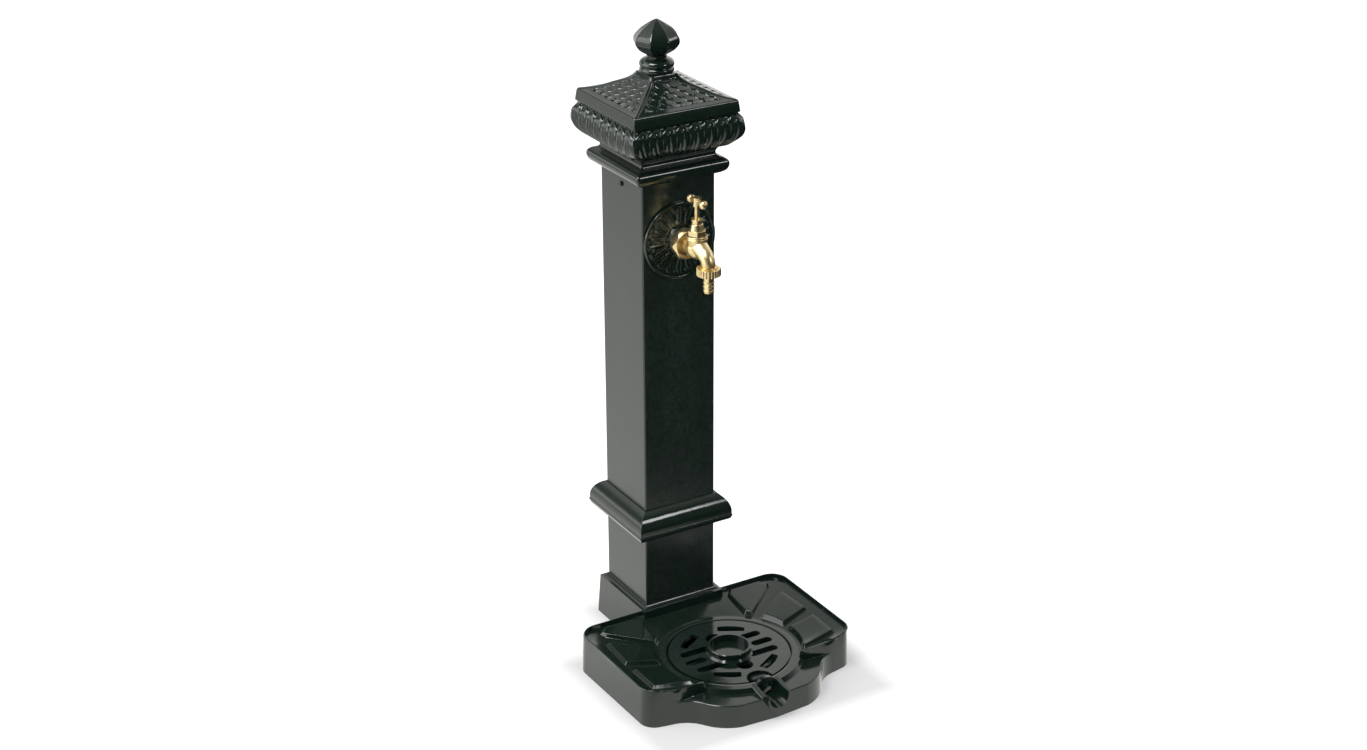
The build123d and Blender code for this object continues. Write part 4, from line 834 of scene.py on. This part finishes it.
def cheek_section(top):
    """Section of the gutter's block: upright sides and rounded shoulders, its top at the given height."""
    side = [(26.0, 20.0), (26.0, 33.0), (25.1, top - 3.5), (24.6, top - 1.6), (23.6, top - 0.4), (22.2, top)]
    return [(-x, z) for x, z in side] + side[::-1]


def trough_section(floor):
    """Elliptic water way open at the top, its lowest place at the given height."""
    return np.vstack([oval_section(16.0, 38.0 - floor, 38.0, 180, 360, 33), [(19.5, 64.0), (-19.5, 64.0)]])


def cut_or_join(piece, tool_mesh, how):
    """Boolean with a closed tool, applied at once."""
    tool = bpy.data.objects.new("tool", tool_mesh)
    bpy.context.scene.collection.objects.link(tool)
    step = piece.modifiers.new(how, "BOOLEAN")
    step.operation = how
    step.solver = "EXACT"
    step.object = tool
    graph = bpy.context.evaluated_depsgraph_get()
    mesh = bpy.data.meshes.new_from_object(piece.evaluated_get(graph))
    piece.modifiers.clear()
    old = piece.data
    piece.data = mesh
    bpy.data.meshes.remove(old)
    bpy.data.objects.remove(tool)
    bpy.data.meshes.remove(tool_mesh)


def tapered_box(name, low, high):
    """Four-sided block about the post's axis between two (half, z) ends."""
    corners = np.array([(-1, -1), (1, -1), (1, 1), (-1, 1)], float)
    rings = [np.concatenate([half * corners, np.full((4, 1), z)], -1) for half, z in (low, high)]
    ends = [np.broadcast_to([0.0, 0.0, z], (4, 3)) for _, z in (low, high)]
    return grid_mesh(name, np.stack([ends[0], *rings, ends[1]]), sharp=30.0)


def dress_tray():
    """Tray sheet joined to the gutter, then cut for the channel, the tunnel and the plinth."""
    piece = add_piece("tray_basin", make_tray(), tray_enamel, "tray")
    spout = oval_section(18.5, 18.5, 33.0, 0, 360, 49)[:-1]
    tunnel = oval_section(13.0, 6.4, 28.8, 0, 360, 41)[:-1]
    for how, tool in (
        ("UNION", swept_block("cheeks", -300.0, cheek_section(45.0), -331.5, cheek_section(39.5))),
        ("UNION", swept_block("spout", -298.0, spout, -339.9)),
        ("DIFFERENCE", swept_block("trough", -304.0, trough_section(24.0), -350.0, trough_section(18.4))),
        ("DIFFERENCE", swept_block("tunnel", -280.0, tunnel, -308.0)),
        ("DIFFERENCE", tapered_box("room", (72.7, -2.0), (69.2, 70.0))),
    ):
        cut_or_join(piece, tool, how)
    smooth_mesh(piece.data, 32.0)
    piece.data.materials.clear()
    piece.data.materials.append(tray_enamel)
    weigh_normals(piece)


dress_tray()
make_pads()


# rosette

def make_rosette():
    """Round plate on the post's face: rolled rim, sixteen petals with a groove each, and a boss."""
    petals = 16
    r = np.concatenate([[10.6], np.linspace(11.2, 19.0, 6), np.linspace(19.6, 22.0, 5),
                        np.linspace(22.6, 52.6, 60), np.linspace(53.0, ROSETTE_R, 16)])[:, None]
    around = petals * 26
    angle = np.arange(around) * 2 * math.pi / around
    r = np.broadcast_to(r, (len(r), around))
    height = np.maximum(2.4, 7.4 - 5.0 * ease(r, 18.4, 21.6))
    rim = 2.6 * np.sqrt(np.clip(1 - ((r - ROSETTE_R + 2.4) / 2.4) ** 2, 0, 1))
    height = height + np.where(r > ROSETTE_R - 4.8, rim, 0)
    step = 2 * math.pi / petals
    across = ((angle + step / 2) % step - step / 2) * r
    wide = np.interp(r, [21.5, 26, 34, 42, 48, 51.2], [1.2, 3.1, 5.0, 6.9, 5.6, 0.6])
    inside = np.clip(1 - (across / wide) ** 2, 0, 1)
    petal = 2.0 * inside ** 0.55 - 0.9 * np.exp(-(across / 0.8) ** 2)
    petal = petal * ease(r, 21.4, 24.0) * (1 - ease(r, 49.8, 51.4))
    height = height + np.where(inside > 0, petal, 0)
    between = (angle % step - step / 2) * r
    height = height + np.exp(-(between / 1.5) ** 2 - ((r - 46.5) / 3.4) ** 2) * 1.7
    height = np.where(r > ROSETTE_R - 0.2, height * 0.7, height)
    flat = np.zeros((2, around))
    radii = np.concatenate([r, r[-1:], r[:1]])
    out = np.concatenate([height, flat])
    points = np.stack([radii * np.cos(angle), -POST_HALF - out, TAP_Z + radii * np.sin(angle)], -1)
    mesh = grid_mesh("rosette_shape", points, round_rows=True, sharp=45.0)
    add_piece("rosette_petals", mesh, cast_enamel, "rosette_plate")


make_rosette()


# pieces finished from the CAD's own shapes

for node, material, width in (
    ("plinth", cast_enamel, 1.6), ("column_band", cast_enamel, 1.2), ("drain_grate", tray_enamel, 1.0),
    ("tap_body", cast_brass, 0.5), ("tap_escutcheon", turned_brass, 0.7), ("tap_bonnet", turned_brass, 0.5),
    ("gland_nut", turned_brass, 0.35), ("spindle", turned_brass, 0.3), ("tee_handle", cast_brass, 0.6),
    ("hose_union_nut", turned_brass, 0.35), ("hose_tail", turned_brass, 0.3),
    ("capital_screws", cast_enamel, 0.35),
):
    soften(node, material, width)

plain = {
    "column_tube": sheet_enamel, "band_screws": plated_steel, "finial_stud": plated_steel,
    "stud_nut": plated_steel, "stud_washer": plated_steel, "foot_bolts": plated_steel,
    "foot_washers": plated_steel, "tray_bolts": plated_steel, "tray_nuts": plated_steel,
    "riser_pipe": plated_steel, "wall_washer": plated_steel, "handle_pin": plated_steel,
    "inlet_coupling": turned_brass, "supply_elbow": cast_brass, "tap_lock_nut": turned_brass,
    "valve_jumper": turned_brass, "washer_nut": turned_brass, "pipe_grommet": black_rubber,
    "bonnet_washer": black_rubber, "gland_packing": black_rubber, "valve_washer": black_rubber,
    "hose_washer": black_rubber,
}
for node, material in plain.items():
    held = nodes[node]
    if not held.material_slots:
        held.data.materials.append(material)
    for slot in held.material_slots:
        slot.link = "OBJECT"
        slot.material = material


# stage, lamps and camera

# Glow of the floor away from the foot as the object mirrors it: a painted reflection.
PAINTED_REFLECTION_FRONT = 0.022
ROOM_FRONT, ROOM_BEHIND, ROOM_LIGHT = 0.035, 0.66, 0.8


def ray_shares(tree):
    """Two shares: 1 for rays from the camera, and 1 for mirrored and refracted rays."""
    path = tree.nodes.new("ShaderNodeLightPath")
    mirrored = maths(tree, "MAXIMUM", path.outputs["Is Glossy Ray"], path.outputs["Is Transmission Ray"])
    return path.outputs["Is Camera Ray"], mirrored


def vectors(tree, how, place, fixed=(0, 0, 0)):
    """Vector Math of a place or direction and a fixed vector: a vector, or a number where it gives one."""
    node = tree.nodes.new("ShaderNodeVectorMath")
    node.operation = how
    tree.links.new(place, node.inputs[0])
    node.inputs[1].default_value = fixed
    return node.outputs["Value" if how in ("LENGTH", "DOT_PRODUCT") else "Vector"]


def way_to_box(tree, place, node_name):
    """How far a place on the floor lies outside a node's box, 0 under it."""
    low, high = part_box(node_name)
    place = vectors(tree, "SUBTRACT", place, (low + high) / 2)
    place = vectors(tree, "ABSOLUTE", place)
    place = vectors(tree, "SUBTRACT", place, (high - low) / 2)
    return vectors(tree, "LENGTH", vectors(tree, "MAXIMUM", place))


def glow(tree, kind, colour, strength):
    """Emission or Background shader; its strength is a number or a socket."""
    node = tree.nodes.new(kind)
    node.inputs["Color"].default_value = colour
    if isinstance(strength, (int, float)):
        node.inputs["Strength"].default_value = strength
    else:
        tree.links.new(strength, node.inputs["Strength"])
    return node.outputs[0]


def mixed(tree, share, first, second):
    """Mix of two shaders, the second by share."""
    node = tree.nodes.new("ShaderNodeMixShader")
    for value, place in ((share, 0), (first, 1), (second, 2)):
        tree.links.new(value, node.inputs[place])
    return node.outputs[0]


def make_floor():
    """White paper floor; to the camera it has a painted shadow, a soft grey close round the foot, and is
    white from there on.

    To mirrored rays it glows as a painted reflection: the object mirrors it bright near its foot and to the
    back left, and dark in front.
    """
    radii = np.array([0.0, 0.4, 0.8, 1.6, 3.2, 6.4, 12.0, 20.0])[:, None]
    angle = np.linspace(0, 2 * math.pi, 64, endpoint=False)
    x, y = radii * np.cos(angle), radii * np.sin(angle)
    points = np.stack([x, y, np.full(x.shape, -0.0002)], -1)
    faces = quads(len(radii), len(angle), False, True)[:, ::-1]
    mesh = bpy.data.meshes.new("floor_sheet")
    mesh.from_pydata(points.reshape(-1, 3), [], faces.tolist())
    work = bmesh.new()
    work.from_mesh(mesh)
    bmesh.ops.remove_doubles(work, verts=work.verts, dist=0.0001)
    work.to_mesh(mesh)
    work.free()
    floor = bpy.data.objects.new("studio_floor", mesh)
    bpy.context.scene.collection.objects.link(floor)
    material, tree, shader, place, _ = new_material("white_paper")
    shader.inputs["Base Color"].default_value = (0.8, 0.8, 0.8, 1)
    shader.inputs["Roughness"].default_value = 0.9
    shader.inputs["Specular IOR Level"].default_value = 0.0
    camera, mirrored = ray_shares(tree)
    reach = vectors(tree, "LENGTH", place)
    # Painted reflection: the glow that mirrored rays see is bright close round the foot and to the back
    # left, and dark in front and elsewhere.
    near = spread(tree, reach, 0.28, 0.42, 1.0, PAINTED_REFLECTION_FRONT)
    left = spread(tree, vectors(tree, "DOT_PRODUCT", place, (-0.75, 0.45, 0)), -0.12, 0.20, 0.0, 1.25)
    fade = spread(tree, reach, 0.5, 2.6, 1.0, 0.72)
    shine = maths(tree, "MAXIMUM", near, maths(tree, "MULTIPLY", left, fade))
    reflection = glow(tree, "ShaderNodeEmission", (1.0, 1.0, 0.955, 1), shine)
    # Painted shadow: to the camera the paper's glow falls from white to grey within 75 mm of the tray's and
    # plinth's boxes.
    away = maths(tree, "MINIMUM", way_to_box(tree, place, "tray"), way_to_box(tree, place, "plinth"))
    paper = glow(tree, "ShaderNodeEmission", WHITE, spread(tree, away, 0.0, 0.075, 0.38, 1.0))
    soft = tree.nodes.new("ShaderNodeBsdfDiffuse")
    soft.inputs["Color"].default_value = (0.34, 0.34, 0.34, 1)
    lit_and_painted_shadow = tree.nodes.new("ShaderNodeAddShader")
    tree.links.new(soft.outputs[0], lit_and_painted_shadow.inputs[0])
    tree.links.new(paper, lit_and_painted_shadow.inputs[1])
    others = mixed(tree, mirrored, shader.outputs[0], reflection)
    surface = mixed(tree, camera, others, lit_and_painted_shadow.outputs[0])
    tree.links.new(surface, tree.nodes["Material Output"].inputs["Surface"])
    mesh.materials.append(material)


def make_world():
    """Studio room: white to the camera, even to matt surfaces, and dark in front where it is mirrored.

    It is mirrored bright behind, brighter still to the right, and on the left only low and high up.
    """
    world = bpy.data.worlds.new("studio_room")
    bpy.context.scene.world = world
    world.use_nodes = True
    tree = world.node_tree
    tree.nodes.clear()
    out = tree.nodes.new("ShaderNodeOutputWorld")
    way = tree.nodes.new("ShaderNodeTexCoord").outputs["Generated"]
    split = tree.nodes.new("ShaderNodeSeparateXYZ")
    tree.links.new(way, split.inputs[0])
    across, up = split.outputs["X"], split.outputs["Z"]
    ceiling = spread(tree, up, 0.42, 0.60, 0.0, 1.0)
    high = maths(tree, "MAXIMUM", ceiling, spread(tree, up, 0.12, 0.24, 1.1, 0.0))
    wall = maths(tree, "MAXIMUM", spread(tree, across, -0.35, 0.15, 0.45, 1.0), high)
    dimmer = spread(tree, up, 0.42, 0.56, 1.0, 0.62)
    behind = spread(tree, split.outputs["Y"], -0.5, 0.4, ROOM_FRONT, ROOM_BEHIND)
    behind = maths(tree, "MULTIPLY", behind, spread(tree, across, 0.25, 0.45, 1.0, 2.1))
    behind = maths(tree, "MULTIPLY", behind, maths(tree, "MULTIPLY", wall, dimmer))
    left = spread(tree, vectors(tree, "DOT_PRODUCT", way, (-0.8, 0.5, 0)), 0.2, 0.75, 0.0, 0.9)
    shine = maths(tree, "ADD", behind, maths(tree, "MULTIPLY", left, high))
    camera, mirrored = ray_shares(tree)
    room = glow(tree, "ShaderNodeBackground", (0.8, 0.8, 0.8, 1), ROOM_LIGHT)
    reflection = glow(tree, "ShaderNodeBackground", (1.0, 1.0, 0.97, 1), shine)
    others = mixed(tree, mirrored, room, reflection)
    surface = mixed(tree, camera, others, glow(tree, "ShaderNodeBackground", WHITE, 1.0))
    tree.links.new(surface, out.inputs["Surface"])


def add_lamp(name, place, aim, size, watts):
    """Square area lamp at place, turned towards aim, both in metres."""
    data = bpy.data.lights.new(name, "AREA")
    data.size = size
    data.energy = watts
    lamp = bpy.data.objects.new(name, data)
    bpy.context.scene.collection.objects.link(lamp)
    lamp.location = place
    lamp.rotation_euler = (Vector(aim) - Vector(place)).to_track_quat("-Z", "Y").to_euler()


def make_camera():
    """The photograph's view: place, yaw, pitch and roll from a fit to the post's edges."""
    yaw, pitch, roll = 0.5347, 0.4219, -0.0036
    focal_pixels, photo_width, sensor = 2325.7, 1367, 36.0
    ahead = Vector((math.sin(yaw) * math.cos(pitch), math.cos(yaw) * math.cos(pitch), -math.sin(pitch)))
    right = Vector((math.cos(yaw), -math.sin(yaw), 0))
    up = right.cross(ahead)
    tilt, level = math.sin(roll), math.cos(roll)
    right, up = right * level + up * tilt, up * level - right * tilt
    data = bpy.data.cameras.new("studio_camera")
    data.sensor_width = sensor
    data.lens = focal_pixels / photo_width * sensor
    data.clip_end = 100.0
    camera = bpy.data.objects.new("studio_camera", data)
    bpy.context.scene.collection.objects.link(camera)
    turn = Matrix((right, up, -ahead)).transposed().to_4x4()
    camera.matrix_world = Matrix.Translation((-1.5829, -2.7438 + POST_Y * MM, 1.8385)) @ turn
    bpy.context.scene.camera = camera


make_floor()
make_world()
add_lamp("window_left", (-2.6, 0.9, 1.7), (0, 0, 0.5), 2.4, 42.0)
add_lamp("softbox_above", (-1.35, -0.3, 3.2), (0, 0, 0.6), 1.4, 70.0)
add_lamp("lamp_front_right", (1.0, -1.7, 1.75), (0, 0, 0.6), 0.5, 7.0)
add_lamp("lamp_right", (2.7, -0.4, 2.0), (0, 0, 0.7), 0.4, 2.2)
make_camera()

scene = bpy.context.scene
scene.view_settings.view_transform = "Standard"
